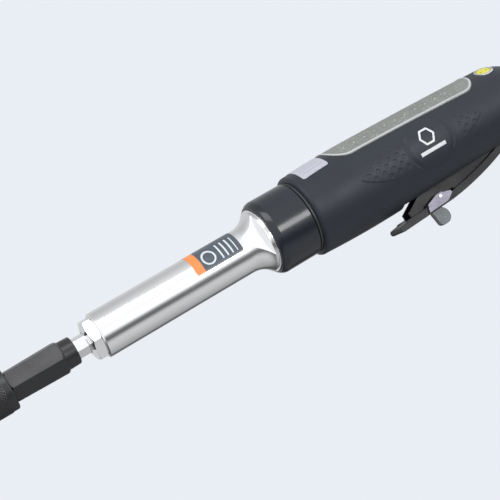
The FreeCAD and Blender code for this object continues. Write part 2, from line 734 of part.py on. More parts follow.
def build_grip():
    """Rubber sleeve with its lever opening, top insert and rating label."""
    skin = grip_skin("grip_form", "0", "bore")
    opening = block("grip_opening", "housing_front + motor_bore_depth + 1.0", "-grip_slot_half_width", "-30",
                    ("pin_x + lever_ear_r + 3.4 - housing_front - motor_bore_depth - 1.0",
                     "grip_slot_half_width * 2", "14"))
    insert_sizes = ("insert_front_at", "insert_length", "insert_half_width", "insert_corner_r")
    insert_hole = top_prism("insert_hole", *insert_sizes)
    under_insert = grip_skin("under_insert", "-insert_depth")
    pocket = cut("insert_pocket", insert_hole, [under_insert])
    pin_hole = rod("grip_pin_hole", "pin_r + 0.25", "60", "pin_x", "-30", "-pin_drop", V(0, 1, 0))
    bezel_hole = rod("grip_bezel_hole", "bezel_r + 0.1", "12", "regulator_x",
                     "-cos(regulator_tilt_deg * 1 deg) * (regulator_face - 4.8)",
                     "sin(regulator_tilt_deg * 1 deg) * (regulator_face - 4.8)", regulator_axis())
    keep("rubber_grip", cut("rubber_grip", skin, [opening, pocket, pin_hole, bezel_hole]))

    insert_block = top_prism("insert_block", "insert_front_at + 0.05", "insert_length - 0.1",
                             "insert_half_width - 0.05", "insert_corner_r")
    insert_top = grip_skin("insert_top", "0.1")
    insert_floor = grip_skin("insert_floor", "0.05 - insert_depth")
    keep("top_insert", cut("top_insert", common("top_insert", insert_block, insert_top), [insert_floor]))

    label_block = top_prism("label_block", "label_at", "label_length", "label_half_width", "1.2")
    label_top = grip_skin("label_top", "label_thickness")
    label_floor = grip_skin("label_floor", "0.01")
    keep("rating_label", cut("rating_label", common("rating_label", label_block, label_top), [label_floor]))


# ---------------------------------------------------------------- front end
def neck_form(name, grow):
    """Outside of the neck: turned bar and flare with a wrench flat on each side."""
    flare_end = "flare_end_at"
    groove = f"{flare_end} + neck_groove_length - 0.4"
    rim_end = "neck_length - neck_flange_length"
    bar = turned(name + "_turning", [
        ("0", "0"), ("0", f"neck_r - 0.9 + {grow}"), ("0.8", f"neck_r + {grow}"),
        ("flare_start_at", f"neck_r + {grow}"),
        (flare_end, f"flare_end_r + {grow}", "flare_start_at + flare_length * 0.56",
         f"neck_r + 1.25 + {grow}"),
        (f"{flare_end} + 0.3", "flare_end_r - 0.5"), (groove, "flare_end_r - 0.5"),
        (f"{groove} + 0.4", "neck_rim_r"), (rim_end, "neck_rim_r"), (rim_end, "neck_flange_r"),
        ("neck_length", "neck_flange_r"), ("neck_length", "0")], "neck_front")
    half = f"neck_flats / 2 + {grow}"
    cutters = []
    for side in range(2):
        cutter = slab(f"{name}_flat_{side}", [
            ("-1", half), (f"{flare_end} + 0.1", half),
            (f"{flare_end} + 0.1", "flare_end_r + 4"), ("-1", "flare_end_r + 4")], "40")
        turn = FreeCAD.Rotation(V(1, 0, 0), 90.0 - value("neck_flat_clock_deg") + 180.0 * side)
        cutter.Placement = FreeCAD.Placement(V(0, 0, 0), turn)
        cutter.setExpression("Placement.Base.x", bind("neck_front"))
        cutters.append(cutter)
    return cut(name, bar, cutters)


def build_neck():
    """Neck housing, nose cap, spindle seal and the label that wraps the neck."""
    bore = turned("neck_bore", [
        ("-1", "0"), ("-1", "cap_thread_r"), ("neck_nose_bearing_depth - nose_bearing_width", "cap_thread_r"),
        ("neck_nose_bearing_depth - nose_bearing_width", "nose_bearing_outer_r"),
        ("neck_nose_bearing_depth", "nose_bearing_outer_r"), ("neck_nose_bearing_depth", "neck_bore_r"),
        ("neck_length - 2.5 - neck_bearing_width - 2", "neck_bore_r"),
        ("neck_length - 2.5 - neck_bearing_width - 2", "neck_bearing_bore_r + 2"),
        ("neck_length - 2.5 - neck_bearing_width", "neck_bearing_bore_r + 2"),
        ("neck_length - 2.5 - neck_bearing_width", "neck_bearing_outer_r"),
        ("neck_length - 2.5", "neck_bearing_outer_r"), ("neck_length - 2.5", "carrier_r + 2.5"),
        ("neck_length + 1", "carrier_r + 2.5"), ("neck_length + 1", "0")], "neck_front")
    keep("neck_housing", cut("neck_housing", neck_form("neck", "0"), [bore]))

    wrap = block("neck_label_area", "neck_back - 49.3", "-14", "0.2", ("28", "15.5", "14"))
    keep("neck_label", cut("neck_label", common("neck_label", neck_form("neck_label_top", "label_thickness"),
                                                wrap),
                           [neck_form("neck_label_floor", "0.01")]))

    head = turned("cap_head", [
        ("0", "cap_bore_r"), ("0", "cap_bore_r + 0.6"), ("1.4", "cap_hex_flats / 2 + 0.5"),
        ("2.0", "cap_hex_flats / 2 / cos(30 deg)"),
        ("cap_hex_length - 0.5", "cap_hex_flats / 2 / cos(30 deg)"),
        ("cap_hex_length", "cap_hex_flats / 2 + 0.6"), ("cap_hex_length", "cap_bore_r")], "cap_front")
    flats = hex_bar("cap_flats", "cap_hex_flats", "cap_hex_length", "cap_front", value("hex_clock_deg"))
    spigot = turned("cap_spigot", [
        ("cap_hex_length - 1", "cap_bore_r"), ("cap_hex_length - 1", "cap_thread_r"),
        ("cap_hex_length + cap_thread_length - 0.1", "cap_thread_r"),
        ("cap_hex_length + cap_thread_length - 0.1", "seal_r"), ("cap_hex_length + 2", "seal_r"),
        ("cap_hex_length + 2", "cap_bore_r")], "cap_front")
    keep("nose_cap", fuse("nose_cap", [common("cap_head", head, flats), spigot]))
    keep("nose_seal", turned("nose_seal", [
        ("0", "cap_bore_r"), ("0", "seal_r"), ("seal_length", "seal_r"), ("seal_length", "seal_r - 0.8"),
        ("1.2", "seal_r - 0.8"), ("1.2", "cap_bore_r + 0.5"), ("2.6", "cap_bore_r + 0.3"),
        ("2.6", "cap_bore_r - 0.2"),
        ("1", "cap_bore_r - 0.2")], "cap_front + cap_hex_length + 2.1"))


def build_spindle():
    """Output spindle in one piece with the planet carrier, and its two bearings."""
    hexed = "spindle_thread_length"
    cap = f"{hexed} + spindle_hex_length"
    nose = f"nose_bearing_front - spindle_hex_front + {hexed}"
    nose_end = f"{nose} + nose_bearing_width"
    neck = f"neck_bearing_front - spindle_hex_front + {hexed}"
    disc = f"carrier_front - spindle_hex_front + {hexed}"
    disc_end = f"{disc} + carrier_thickness"
    turning = turned("spindle_turning", [
        ("0", "0"), ("0", "spindle_thread_r - 0.5"), ("0.5", "spindle_thread_r"), (hexed, "spindle_thread_r"),
        (cap, "spindle_thread_r"), (cap, "cap_bore_r - 0.3"), (nose, "cap_bore_r - 0.3"),
        (nose, "nose_bearing_bore_r"), (nose_end, "nose_bearing_bore_r"), (nose_end, "spindle_shaft_r"),
        (neck, "spindle_shaft_r"), (neck, "neck_bearing_bore_r"), (disc, "neck_bearing_bore_r"),
        (disc, "carrier_r"), (disc_end, "carrier_r"), (disc_end, "5.6"), (f"{disc_end} - 1.2", "5.6"),
        (f"{disc_end} - 1.2", "0")], "spindle_hex_front - spindle_thread_length")
    flats = hex_bar("spindle_flats", "spindle_hex_flats", "spindle_hex_length", "spindle_hex_front", 19.5)
    holes = [rod(f"carrier_hole_{n}", "planet_pin_r", "carrier_thickness + 2", "carrier_front + 0.2",
                 f"orbit * cos({a} deg)", f"orbit * sin({a} deg)")
             for n, a in enumerate(PLANET_ANGLES)]
    keep("output_spindle", cut("output_spindle", fuse("output_spindle", [turning, flats]), holes))
    bearing("nose", "nose_bearing_bore_r", "nose_bearing_outer_r", "nose_bearing_width", "nose_pitch",
            "nose_ball_r", "nose_bearing_front", 11)
    bearing("neck", "neck_bearing_bore_r", "neck_bearing_outer_r", "neck_bearing_width", "neck_pitch",
            "neck_ball_r", "neck_bearing_front", 11)


def build_nut():
    """Clamp nut that holds the neck's flange to the motor housing."""
    keep("clamp_nut", turned("clamp_nut", [
        ("0", "nut_lip_r"), ("0", "nut_lip_r + 0.7"),
        ("nut_chamfer", "nut_r", "nut_chamfer * 0.35", "nut_lip_r + 1.85"),
        ("nut_length - 0.5", "nut_r"), ("nut_length", "nut_r - 0.5"), ("nut_length", "housing_thread_r"),
        ("nut_lip_length + neck_flange_length + 0.6", "housing_thread_r"),
        ("nut_lip_length", "housing_thread_r"),
        ("nut_lip_length", "nut_lip_r")], "nut_front"))


def build_chuck():
    """Quick-change chuck: hex barrel with detent balls, sprung release sleeve, washer and snap ring."""
    rear = "chuck_nose_length + chuck_barrel_length"
    envelope = turned("chuck_turning", [
        ("0", "0"), ("0", "chuck_nose_r - 0.8"), ("0.8", "chuck_nose_r"), ("5.2", "chuck_nose_r"),
        ("5.2", "chuck_nose_r - 0.7"), ("6.4", "chuck_nose_r - 0.7"), ("6.4", "chuck_nose_r"),
        ("chuck_nose_length", "chuck_nose_r"), ("chuck_nose_length", "0")], "chuck_front")
    barrel_end = turned("chuck_barrel_form", [
        ("chuck_nose_length", "0"), ("chuck_nose_length", "chuck_hex_front_flats / 2 + 0.2"),
        ("chuck_nose_length + 1", "chuck_hex_front_flats / 2 + 1.4"),
        (f"{rear} - 1.6", "chuck_hex_rear_flats / 2 + 1.5"), (f"{rear} + 0.6", "chuck_collar_r + 0.2"),
        (f"{rear} + 0.6", "0")], "chuck_front")
    barrel = doc.addObject("PartDesign::Body", "chuck_barrel_hex")
    sketch = outline_sketch(barrel, "chuck_hex_outline", [
        (f"chuck_hex_front_flats / 2 / cos(30 deg) * cos({a} deg)",
         f"chuck_hex_front_flats / 2 / cos(30 deg) * sin({a} deg)") for a in range(15, 375, 60)], "YZ_Plane")
    pad = barrel.newObject("PartDesign::Pad", "chuck_hex_pad")
    pad.Profile = sketch
    pad.setExpression("Length", bind("chuck_barrel_length + 0.6"))
    pad.setExpression("TaperAngle", bind(
        "atan((chuck_hex_rear_flats - chuck_hex_front_flats) / 2 / chuck_barrel_length)"))
    place(barrel, "chuck_front + chuck_nose_length", turn=FreeCAD.Rotation(V(1, 0, 0), -8.3))
    collar = turned("chuck_collar", [
        (rear, "0"), (rear, "chuck_collar_r + 0.2"), ("chuck_length - 0.5", "chuck_collar_r"),
        ("chuck_length", "chuck_collar_r - 0.5"), ("chuck_length", "0")], "chuck_front")
    whole = fuse("chuck_body", [envelope, common("chuck_barrel", barrel_end, barrel), collar])
    tools = [
        hex_bar("chuck_socket", "socket_flats", "socket_depth + 1", "chuck_front - 1", 30.0),
        rod("chuck_thread_hole", "spindle_thread_r", "spindle_thread_length + 1.5",
            "chuck_back - spindle_thread_length - 0.5"),
        rod("detent_holes", "detent_ball_r + running_gap", "chuck_nose_r * 2 + 2", "detent_x",
            up="-chuck_nose_r - 1", direction=V(0, 0, 1))]
    keep("chuck_body", cut("chuck_body", whole, tools))
    for name, sign in (("detent_ball_upper", ""), ("detent_ball_lower", "-")):
        ball = doc.addObject("Part::Sphere", name)
        ball.setExpression("Radius", bind("detent_ball_r"))
        keep(name, place(ball, "detent_x", up=sign + "detent_orbit_r"))

    ball_at = "detent_x - sleeve_front"
    land = "chuck_nose_r + 0.06"
    ramp_foot = "detent_orbit_r + (detent_ball_r + 0.03) / cos(14 deg)"
    ramp_end = "sleeve_travel + 1"
    keep("chuck_sleeve", turned("chuck_sleeve", [
        ("0", "sleeve_bore_r"), ("0", "sleeve_r - 0.6"), ("0.6", "sleeve_r"),
        ("sleeve_length - 0.6", "sleeve_r"),
        ("sleeve_length", "sleeve_r - 0.6"), ("sleeve_length", land), ("sleeve_length - 1.8", land),
        ("sleeve_length - 2.4", f"{ramp_foot} + sleeve_ramp_slope * ({ramp_end})"),
        (f"{ball_at} + {ramp_end}", f"{ramp_foot} + sleeve_ramp_slope * ({ramp_end})"),
        (f"{ball_at} - ({ramp_foot} - ({land})) / sleeve_ramp_slope", land),
        (f"{ball_at} - 2.6", land), (f"{ball_at} - 2.6", "sleeve_bore_r")], "sleeve_front"))
    washer_front = "chuck_front + 6.4"
    keep("chuck_washer", ring("chuck_washer", "0.8", "sleeve_bore_r - 0.1", "chuck_nose_r + 0.05",
                              washer_front))
    keep("chuck_snap_ring", ring("chuck_snap_ring", "1.1", "chuck_nose_r + 0.9", "chuck_nose_r - 0.65",
                                 "chuck_front + 5.25"))
    keep("chuck_spring", coil("chuck_spring", "chuck_spring_wire_r", "chuck_spring_r",
                              f"sleeve_front + {ball_at} - 2.6 - ({washer_front}) - 0.9", 3,
                              "chuck_front + 7.25"))


# ---------------------------------------------------------------- throttle
def in_lever_frame(piece):
    """Seat a piece drawn about the lever pin, in the lever's rest attitude."""
    piece.Placement = FreeCAD.Placement(V(0, 0, 0), FreeCAD.Rotation(V(0, 1, 0), -value("lever_rest_deg")))
    piece.setExpression("Placement.Base.x", bind("pin_x"))
    piece.setExpression("Placement.Base.z", bind("-pin_drop"))
    return piece


def lever_slab(name, outline, thickness, side=0, offset="0"):
    """Flat piece of the lever, shifted across its own frame before it is seated."""
    piece = slab(name, outline, thickness)
    in_lever_frame(piece)
    if side:
        piece.setExpression("Placement.Base.y", bind(f"({offset}) * {side}"))
    return piece


def lever_channel(name, height, width, side=0, offset="0"):
    """Strip along the lever's lower line, straight in front and curving up to the pin at the rear."""
    low = "-lever_drop"
    top = f"{height} - lever_drop"
    outline = [
        ("6 - lever_reach", low),
        ("-lever_flat_from", low), ("2", "-6.6", "-21", "-12.1"),
        ("2", f"{height} - 6.6"), ("-lever_flat_from", top, "-21", f"{height} - 12.1"),
        ("6 - lever_reach", top)]
    return lever_slab(name, outline, width, side, offset)


def build_lever():
    """Channel lever with two webs, its pivot pin, and the sprung lock-off tab on its saddle bracket."""
    skin = lever_channel("lever_skin_strip", "lever_skin", "lever_half_width * 2")
    lips = [lever_channel(f"lever_lip_{side + 1}", "lever_height", "lip_thickness", side=side,
                          offset="lever_half_width - lip_thickness / 2") for side in (-1, 1)]
    web = [
        ("-web_front_reach", "0.5 - lever_drop"), ("-web_front_reach", "-7.7"),
        ("11.6 - web_front_reach", "-1.9"),
        ("-lever_ear_r", "2.4 - lever_ear_r"), ("0", "lever_ear_r", "-lever_ear_r * 0.7",
                                                "lever_ear_r * 0.72"),
        ("lever_ear_r", "0", "lever_ear_r * 0.7072", "lever_ear_r * 0.7072"), ("lever_ear_r", "-5.2"),
        ("2", "-6.0"), ("-lever_flat_from", "0.5 - lever_drop", "-21", "0.5 - 12.1")]
    webs = [lever_slab(f"lever_web_{side + 1}", web, "web_thickness", side,
                       "web_half_gap + web_thickness / 2")
            for side in (-1, 1)]
    tip = lever_slab("lever_tip", [
        ("2.0 - lever_reach", "-lever_drop", "-lever_reach", "1.3 - lever_drop"),
        ("10 - lever_reach", "-lever_drop"),
        ("10 - lever_reach", "lever_height - lever_drop"), ("1.0 - lever_reach", "3.2 - lever_drop")],
        "lever_half_width * 2")
    bridge_low = "lever_height - lever_drop"
    bridge_gap = lever_slab("lever_bridge_gap", [
        ("-tab_pin_reach - 10.2", f"{bridge_low} - 0.1"), ("-tab_pin_reach + 11.2", f"{bridge_low} - 0.1"),
        ("-tab_pin_reach + 11.2", f"{bridge_low} + bracket_thickness + 0.2"),
        ("-tab_pin_reach - 10.2", f"{bridge_low} + bracket_thickness + 0.2")], "lever_half_width * 2 + 2")
    tab_window = lever_slab("lever_tab_window", [
        ("-tab_pin_reach - 11.4", "-lever_drop - 1"), ("-tab_pin_reach + 5", "-lever_drop - 1"),
        ("-tab_pin_reach + 5", "lever_skin - lever_drop + 1"),
        ("-tab_pin_reach - 11.4", "lever_skin - lever_drop + 1")],
        "tab_thickness + 1.4")
    pin_hole = rod("lever_pivot_hole", "pin_r + running_gap * 2", "40", "pin_x", "-20", "-pin_drop",
                   V(0, 1, 0))
    tab_pin_line = lever_rod("lever_tab_pin_hole", "tab_pin_r + 0.05", "24", "-tab_pin_reach", "-12",
                             "-tab_pin_drop")
    whole = fuse("throttle_lever", [skin, tip] + lips + webs)
    keep("throttle_lever", cut("throttle_lever", whole, [bridge_gap, tab_window, pin_hole, tab_pin_line]))
    keep("lever_pin", rod("lever_pin", "pin_r", "pin_half_length * 2", "pin_x", "-pin_half_length",
                          "-pin_drop",
                          V(0, 1, 0)))

    outer = "lever_half_width + 0.1 + bracket_thickness"
    cheek = [
        ("-tab_pin_reach - 10.8", f"{bridge_low} - 3.3"), ("-tab_pin_reach + 2.8", f"{bridge_low} - 3.3"),
        ("-tab_pin_reach + 7.6", f"{bridge_low} - 0.6"),
        ("-tab_pin_reach + 7.2", f"{bridge_low} + bracket_thickness"),
        ("-tab_pin_reach + 1.2", "1.9 - tab_pin_drop", "-tab_pin_reach + 4.6", "0.5 - tab_pin_drop"),
        ("-tab_pin_reach - 2.0", "1.9 - tab_pin_drop"),
        ("-tab_pin_reach - 9.2", f"{bridge_low} + bracket_thickness"),
        ("-tab_pin_reach - 10.2", f"{bridge_low} - 1.4")]
    cheeks = [lever_slab(f"bracket_cheek_{side + 1}", cheek, "bracket_thickness", side,
                         f"{outer} - bracket_thickness / 2") for side in (-1, 1)]
    bridge = lever_slab("bracket_bridge", [
        ("-tab_pin_reach - 9", f"{bridge_low} + 0.05"), ("-tab_pin_reach + 7", f"{bridge_low} + 0.05"),
        ("-tab_pin_reach + 7", f"{bridge_low} + bracket_thickness"),
        ("-tab_pin_reach - 9", f"{bridge_low} + bracket_thickness")], f"({outer}) * 2")
    bridge_window = lever_slab("bracket_window", [
        ("-tab_pin_reach - 8.2", "-lever_drop"), ("-tab_pin_reach + 5", "-lever_drop"),
        ("-tab_pin_reach + 5", "0"), ("-tab_pin_reach - 8.2", "0")],
        "web_half_gap * 2 + web_thickness * 2 + 0.4")
    bracket_hole = lever_rod("bracket_pin_hole", "tab_pin_r", "24", "-tab_pin_reach", "-12", "-tab_pin_drop")
    keep("tab_bracket", cut("tab_bracket", fuse("tab_bracket", cheeks + [bridge]),
                            [bridge_window, bracket_hole]))

    tab = lever_slab("tab_form", [
        ("-tab_pin_reach - 6.4", "-14.8"), ("-tab_pin_reach - 5.5", "-21.6"),
        ("-tab_pin_reach - 2.2", "-24.3", "-tab_pin_reach - 4.8", "-23.6"),
        ("-tab_pin_reach + 3.1", "-19.6", "-tab_pin_reach + 2.1", "-22.9"),
        ("-tab_pin_reach + 0.7", "-15.4", "-tab_pin_reach + 2.5", "-17.4"),
        ("-tab_pin_reach + 2.6", "-11.2"), ("-tab_pin_reach + 4.0", "-6.4"),
        ("-tab_pin_reach + 0.9", "-6.0", "-tab_pin_reach + 2.6", "-5.4"),
        ("-tab_pin_reach - 2.4", "-8.2"), ("-tab_pin_reach - 2.6", "-10.4"),
        ("-tab_pin_reach - 5.6", "-12.6")],
        "tab_thickness")
    tab_hole = lever_rod("tab_pivot_hole", "tab_pin_r + running_gap", "24", "-tab_pin_reach", "-12",
                         "-tab_pin_drop")
    keep("lock_tab", cut("lock_tab", tab, [tab_hole]))
    keep("tab_pin", lever_rod("tab_pin", "tab_pin_r", f"({outer}) * 2 + 0.6", "-tab_pin_reach",
                              f"-({outer}) - 0.3",
                              "-tab_pin_drop"))
    loops = [lever_ring(f"tab_spring_loop_{n}", "-tab_pin_reach",
                        f"tab_thickness / 2 + joint_gap + tab_spring_wire_r * {1 + 2.1 * n}", "-tab_pin_drop")
             for n in range(3)]
    keep("tab_spring", group("tab_spring", loops))


def lever_rod(name, radius, length, along, across, up):
    """Cross pin or hole at a place given in the lever's own frame."""
    tilt = "lever_rest_deg * 1 deg"
    x = f"pin_x + ({along}) * cos({tilt}) - ({up}) * sin({tilt})"
    z = f"-pin_drop + ({along}) * sin({tilt}) + ({up}) * cos({tilt})"
    return rod(name, radius, length, x, across, z, V(0, 1, 0))


def lever_ring(name, along, across, up):
    """One closed turn of spring wire around the tab pin."""
    tilt = "lever_rest_deg * 1 deg"
    loop = doc.addObject("Part::Torus", name)
    loop.setExpression("Radius1", bind("tab_pin_r + tab_spring_wire_r + 0.21"))
    loop.setExpression("Radius2", bind("tab_spring_wire_r"))
    x = f"pin_x + ({along}) * cos({tilt}) - ({up}) * sin({tilt})"
    z = f"-pin_drop + ({along}) * sin({tilt}) + ({up}) * cos({tilt})"
    return place(loop, x, across, z, FreeCAD.Rotation(V(0, 0, 1), V(0, 1, 0)))


def build_valve():
    """Throttle valve on the vertical axis: stem with poppet, seat ring, guide bush and closing spring."""
    upright = FreeCAD.Rotation(V(1, 0, 0), V(0, 0, 1))
    keep("valve_stem", turned("valve_stem", [
        ("-stem_reach", "0"), ("-stem_reach", "stem_r - 0.5"), ("0.5 - stem_reach", "stem_r"),
        ("seat_top + 0.05", "stem_r"), ("seat_top + 0.05", "poppet_r"),
        ("seat_top + poppet_thickness", "poppet_r"), ("seat_top + poppet_thickness + 0.8", "1.9"),
        ("seat_top + poppet_thickness + 2.4", "1.9"), ("seat_top + poppet_thickness + 2.4", "0")],
        "valve_x", upright))
    keep("valve_seat", ring("valve_seat", "seat_thickness", "valve_bore_r", "seat_hole_r", "valve_x",
                            upright))
    nodes["valve_seat"].setExpression("Placement.Base.z", bind("seat_top - seat_thickness"))
    keep("valve_bush", ring("valve_bush", "bush_length", "valve_bore_r", "stem_r + running_gap", "valve_x",
                            upright))
    nodes["valve_bush"].setExpression("Placement.Base.z", bind("-slot_roof_drop - 0.2"))
    spring_at = "seat_top + poppet_thickness + 0.9"
    keep("valve_spring", coil("valve_spring", "valve_spring_wire_r", "valve_spring_r",
                              f"valve_bore_top - ({spring_at}) - 0.1", 5, "valve_x", upright))
    nodes["valve_spring"].setExpression("Placement.Base.z", bind(spring_at))


# ---------------------------------------------------------------- inlet end and regulator
def regulator_axis():
    """Outward direction of the regulator: up and towards -Y."""
    tilt = math.radians(value("regulator_tilt_deg"))
    return V(0, -math.cos(tilt), math.sin(tilt))


def build_inlet():
    """Inlet bushing, its screen, the muffler ring and the turning exhaust deflector."""
    waist = "deflector_length + wide_gap * 2 - 0.6"
    bush = turned("bushing_turning", [
        ("-inlet_stem_length", "inlet_throat_r"), ("-inlet_stem_length", "inlet_stem_r - 0.1"),
        ("0", "inlet_stem_r - 0.1"),
        ("0", "inlet_waist_r"), (f"{waist} + 0.6", "inlet_waist_r"),
        (f"{waist} + inlet_hex_length + 0.6", "inlet_waist_r"),
        (f"{waist} + inlet_hex_length + 0.6", "inlet_thread_r"),
        (f"{waist} + inlet_hex_length + 0.6 - inlet_thread_depth", "inlet_thread_r"),
        (f"{waist} + inlet_hex_length + 0.6 - inlet_thread_depth", "inlet_throat_r")], "housing_back")
    head = turned("bushing_head_form", [
        ("0", "inlet_thread_r + 0.5"), ("0", "inlet_hex_flats / 2 / cos(30 deg)"),
        ("inlet_hex_length - 1", "inlet_hex_flats / 2 / cos(30 deg)"),
        ("inlet_hex_length", "inlet_hex_flats / 2"), ("inlet_hex_length", "inlet_thread_r + 0.5")],
        "-inlet_hex_length")
    flats = hex_bar("bushing_flats", "inlet_hex_flats", "inlet_hex_length", "-inlet_hex_length", 0.0)
    keep("inlet_bushing", fuse("inlet_bushing", [bush, common("bushing_head", head, flats)]))
    screen_back = "-inlet_thread_depth"
    screen = turned("inlet_screen_cup", [
        ("0", "0"), ("0", "inlet_throat_r - 0.1"), ("6", "inlet_throat_r - 0.1"),
        ("6", "inlet_throat_r - 0.7"),
        ("0.6", "inlet_throat_r - 0.7"), ("0.6", "0")], f"{screen_back} - 6.2")
    keep("inlet_screen", cut("inlet_screen", screen, [
        rod(f"screen_hole_{n}", "0.5", "3", f"{screen_back} - 7.2", f"{y}", f"{z}")
        for n, (y, z) in enumerate(orbit_points(6, 2.0))]))
    keep("muffler_ring", ring("muffler_ring", "muffler_chamber_depth - 1.6", "muffler_chamber_r - 0.1",
                              "inlet_boss_r + 0.1", "housing_back - muffler_chamber_depth + 0.8"))
    deflector = turned("deflector_turning", [
        ("0", "inlet_waist_r + running_gap"), ("0", "inlet_waist_r + 2"), ("1.2", "inlet_waist_r + 2"),
        ("1.2", "deflector_r - 2.6"), ("0", "deflector_r - 2.6"), ("0", "deflector_r"),
        ("deflector_length - 1.6", "deflector_r - 0.5"),
        ("deflector_length", "deflector_r - 2.2", "deflector_length - 0.4", "deflector_r - 0.9"),
        ("deflector_length", "inlet_waist_r + running_gap")], "housing_back + wide_gap")
    ports = []
    for y, z in orbit_points(int(value("deflector_port_count")), 1.0):
        port = block(f"deflector_port_{len(ports)}", "0", "0", "0",
                     ("deflector_length - 3.4", "5", "deflector_port_width"))
        turn = FreeCAD.Rotation(V(0, 1, 0), V(0, y, z))
        corner = turn.multVec(V(0, value("deflector_r") - 3.4, -value("deflector_port_width") / 2))
        port.Placement = FreeCAD.Placement(V(value("housing_back + wide_gap") + 1.6, corner.y, corner.z),
                                           turn)
        ports.append(port)
    keep("exhaust_deflector", cut("exhaust_deflector", deflector, ports))


def build_regulator():
    """Speed regulator: a dial with two spanner holes, its stem into the air passage, and its bezel."""
    axis = FreeCAD.Rotation(V(1, 0, 0), regulator_axis())
    dial = turned("regulator_turning", [
        ("air_passage_r - 1.5", "0"), ("air_passage_r - 1.5", "regulator_stem_r"),
        ("regulator_face - 2.6", "regulator_stem_r"), ("regulator_face - 2.6", "regulator_r"),
        ("regulator_face - 0.4", "regulator_r"), ("regulator_face", "regulator_r - 0.4"),
        ("regulator_face", "0")],
        "regulator_x", axis)
    spin = math.radians(value("regulator_tilt_deg"))
    holes = []
    for side in (-1, 1):
        reach = value("regulator_face") - 1.2
        y = -math.cos(spin) * reach
        z = math.sin(spin) * reach
        holes.append(rod(f"regulator_spanner_{side + 1}", "0.65", "4", f"regulator_x + {side * 1.9}",
                         f"{y}", f"{z}", regulator_axis()))
    keep("regulator_dial", cut("regulator_dial", dial, holes))
    keep("regulator_bezel", turned("regulator_bezel", [
        ("regulator_face - 4.4", "regulator_stem_r + 0.2"), ("regulator_face - 4.4", "bezel_r"),
        ("regulator_face - 0.2", "bezel_r"), ("regulator_face + 0.1", "bezel_r - 0.5"),
        ("regulator_face + 0.1", "regulator_r + running_gap * 2"),
        ("regulator_face - 2.8", "regulator_r + running_gap * 2"),
        ("regulator_face - 2.8", "regulator_stem_r + 0.2")],
        "regulator_x", axis))


# ---------------------------------------------------------------- document
def check_document():
    """Stop if any object failed or any piece has no sound shape."""
    doc.recompute()
    for item in doc.Objects:
        if "Invalid" in item.State or "Error" in item.State:
            raise RuntimeError(f"{item.Label} failed: {item.State}")
    for name, piece in nodes.items():
        shape = piece.Shape
        if shape.isNull() or not shape.isValid() or not shape.Solids:
            raise RuntimeError(f"{name} has no valid solid")


def write_parts():
    """One STEP file per piece."""
    os.makedirs("parts", exist_ok=True)
    for name, piece in nodes.items():
        piece.Shape.exportStep(f"parts/{name}.step")
        print(f"{name}: {len(piece.Shape.Solids)} solid(s), {piece.Shape.Volume:.1f} mm3")


fill_sheet()
build_housing()
build_grip()
build_nut()
build_neck()
build_spindle()
build_gears()
build_motor()
build_chuck()
build_lever()
build_valve()
build_inlet()
build_regulator()
check_document()
write_parts()
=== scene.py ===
"""Looks of a straight lever-throttle air tool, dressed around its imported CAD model."""

import json
import logging
import math
from collections.abc import Callable
from dataclasses import dataclass, field
from enum import Enum

import bpy
from mathutils import Matrix, Vector
from mathutils.bvhtree import BVHTree


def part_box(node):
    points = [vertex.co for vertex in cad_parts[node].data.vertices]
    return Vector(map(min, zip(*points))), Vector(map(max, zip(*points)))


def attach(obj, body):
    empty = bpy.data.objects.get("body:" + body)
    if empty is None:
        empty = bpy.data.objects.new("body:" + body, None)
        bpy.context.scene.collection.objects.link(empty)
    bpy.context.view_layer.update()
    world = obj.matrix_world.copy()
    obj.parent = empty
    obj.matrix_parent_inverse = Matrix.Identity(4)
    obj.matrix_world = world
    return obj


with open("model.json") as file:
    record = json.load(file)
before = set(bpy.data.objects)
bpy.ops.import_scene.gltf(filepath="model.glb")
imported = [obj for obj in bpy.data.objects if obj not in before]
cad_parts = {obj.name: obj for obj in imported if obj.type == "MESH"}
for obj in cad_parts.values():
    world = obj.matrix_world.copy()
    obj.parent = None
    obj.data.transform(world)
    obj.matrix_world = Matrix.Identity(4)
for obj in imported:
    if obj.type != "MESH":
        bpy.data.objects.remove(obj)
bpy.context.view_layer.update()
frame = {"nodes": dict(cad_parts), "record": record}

log = logging.getLogger("air_tool")

MM = 0.001
MID_TOOL_X = -200.1 * MM
Colour = tuple[float, float, float]


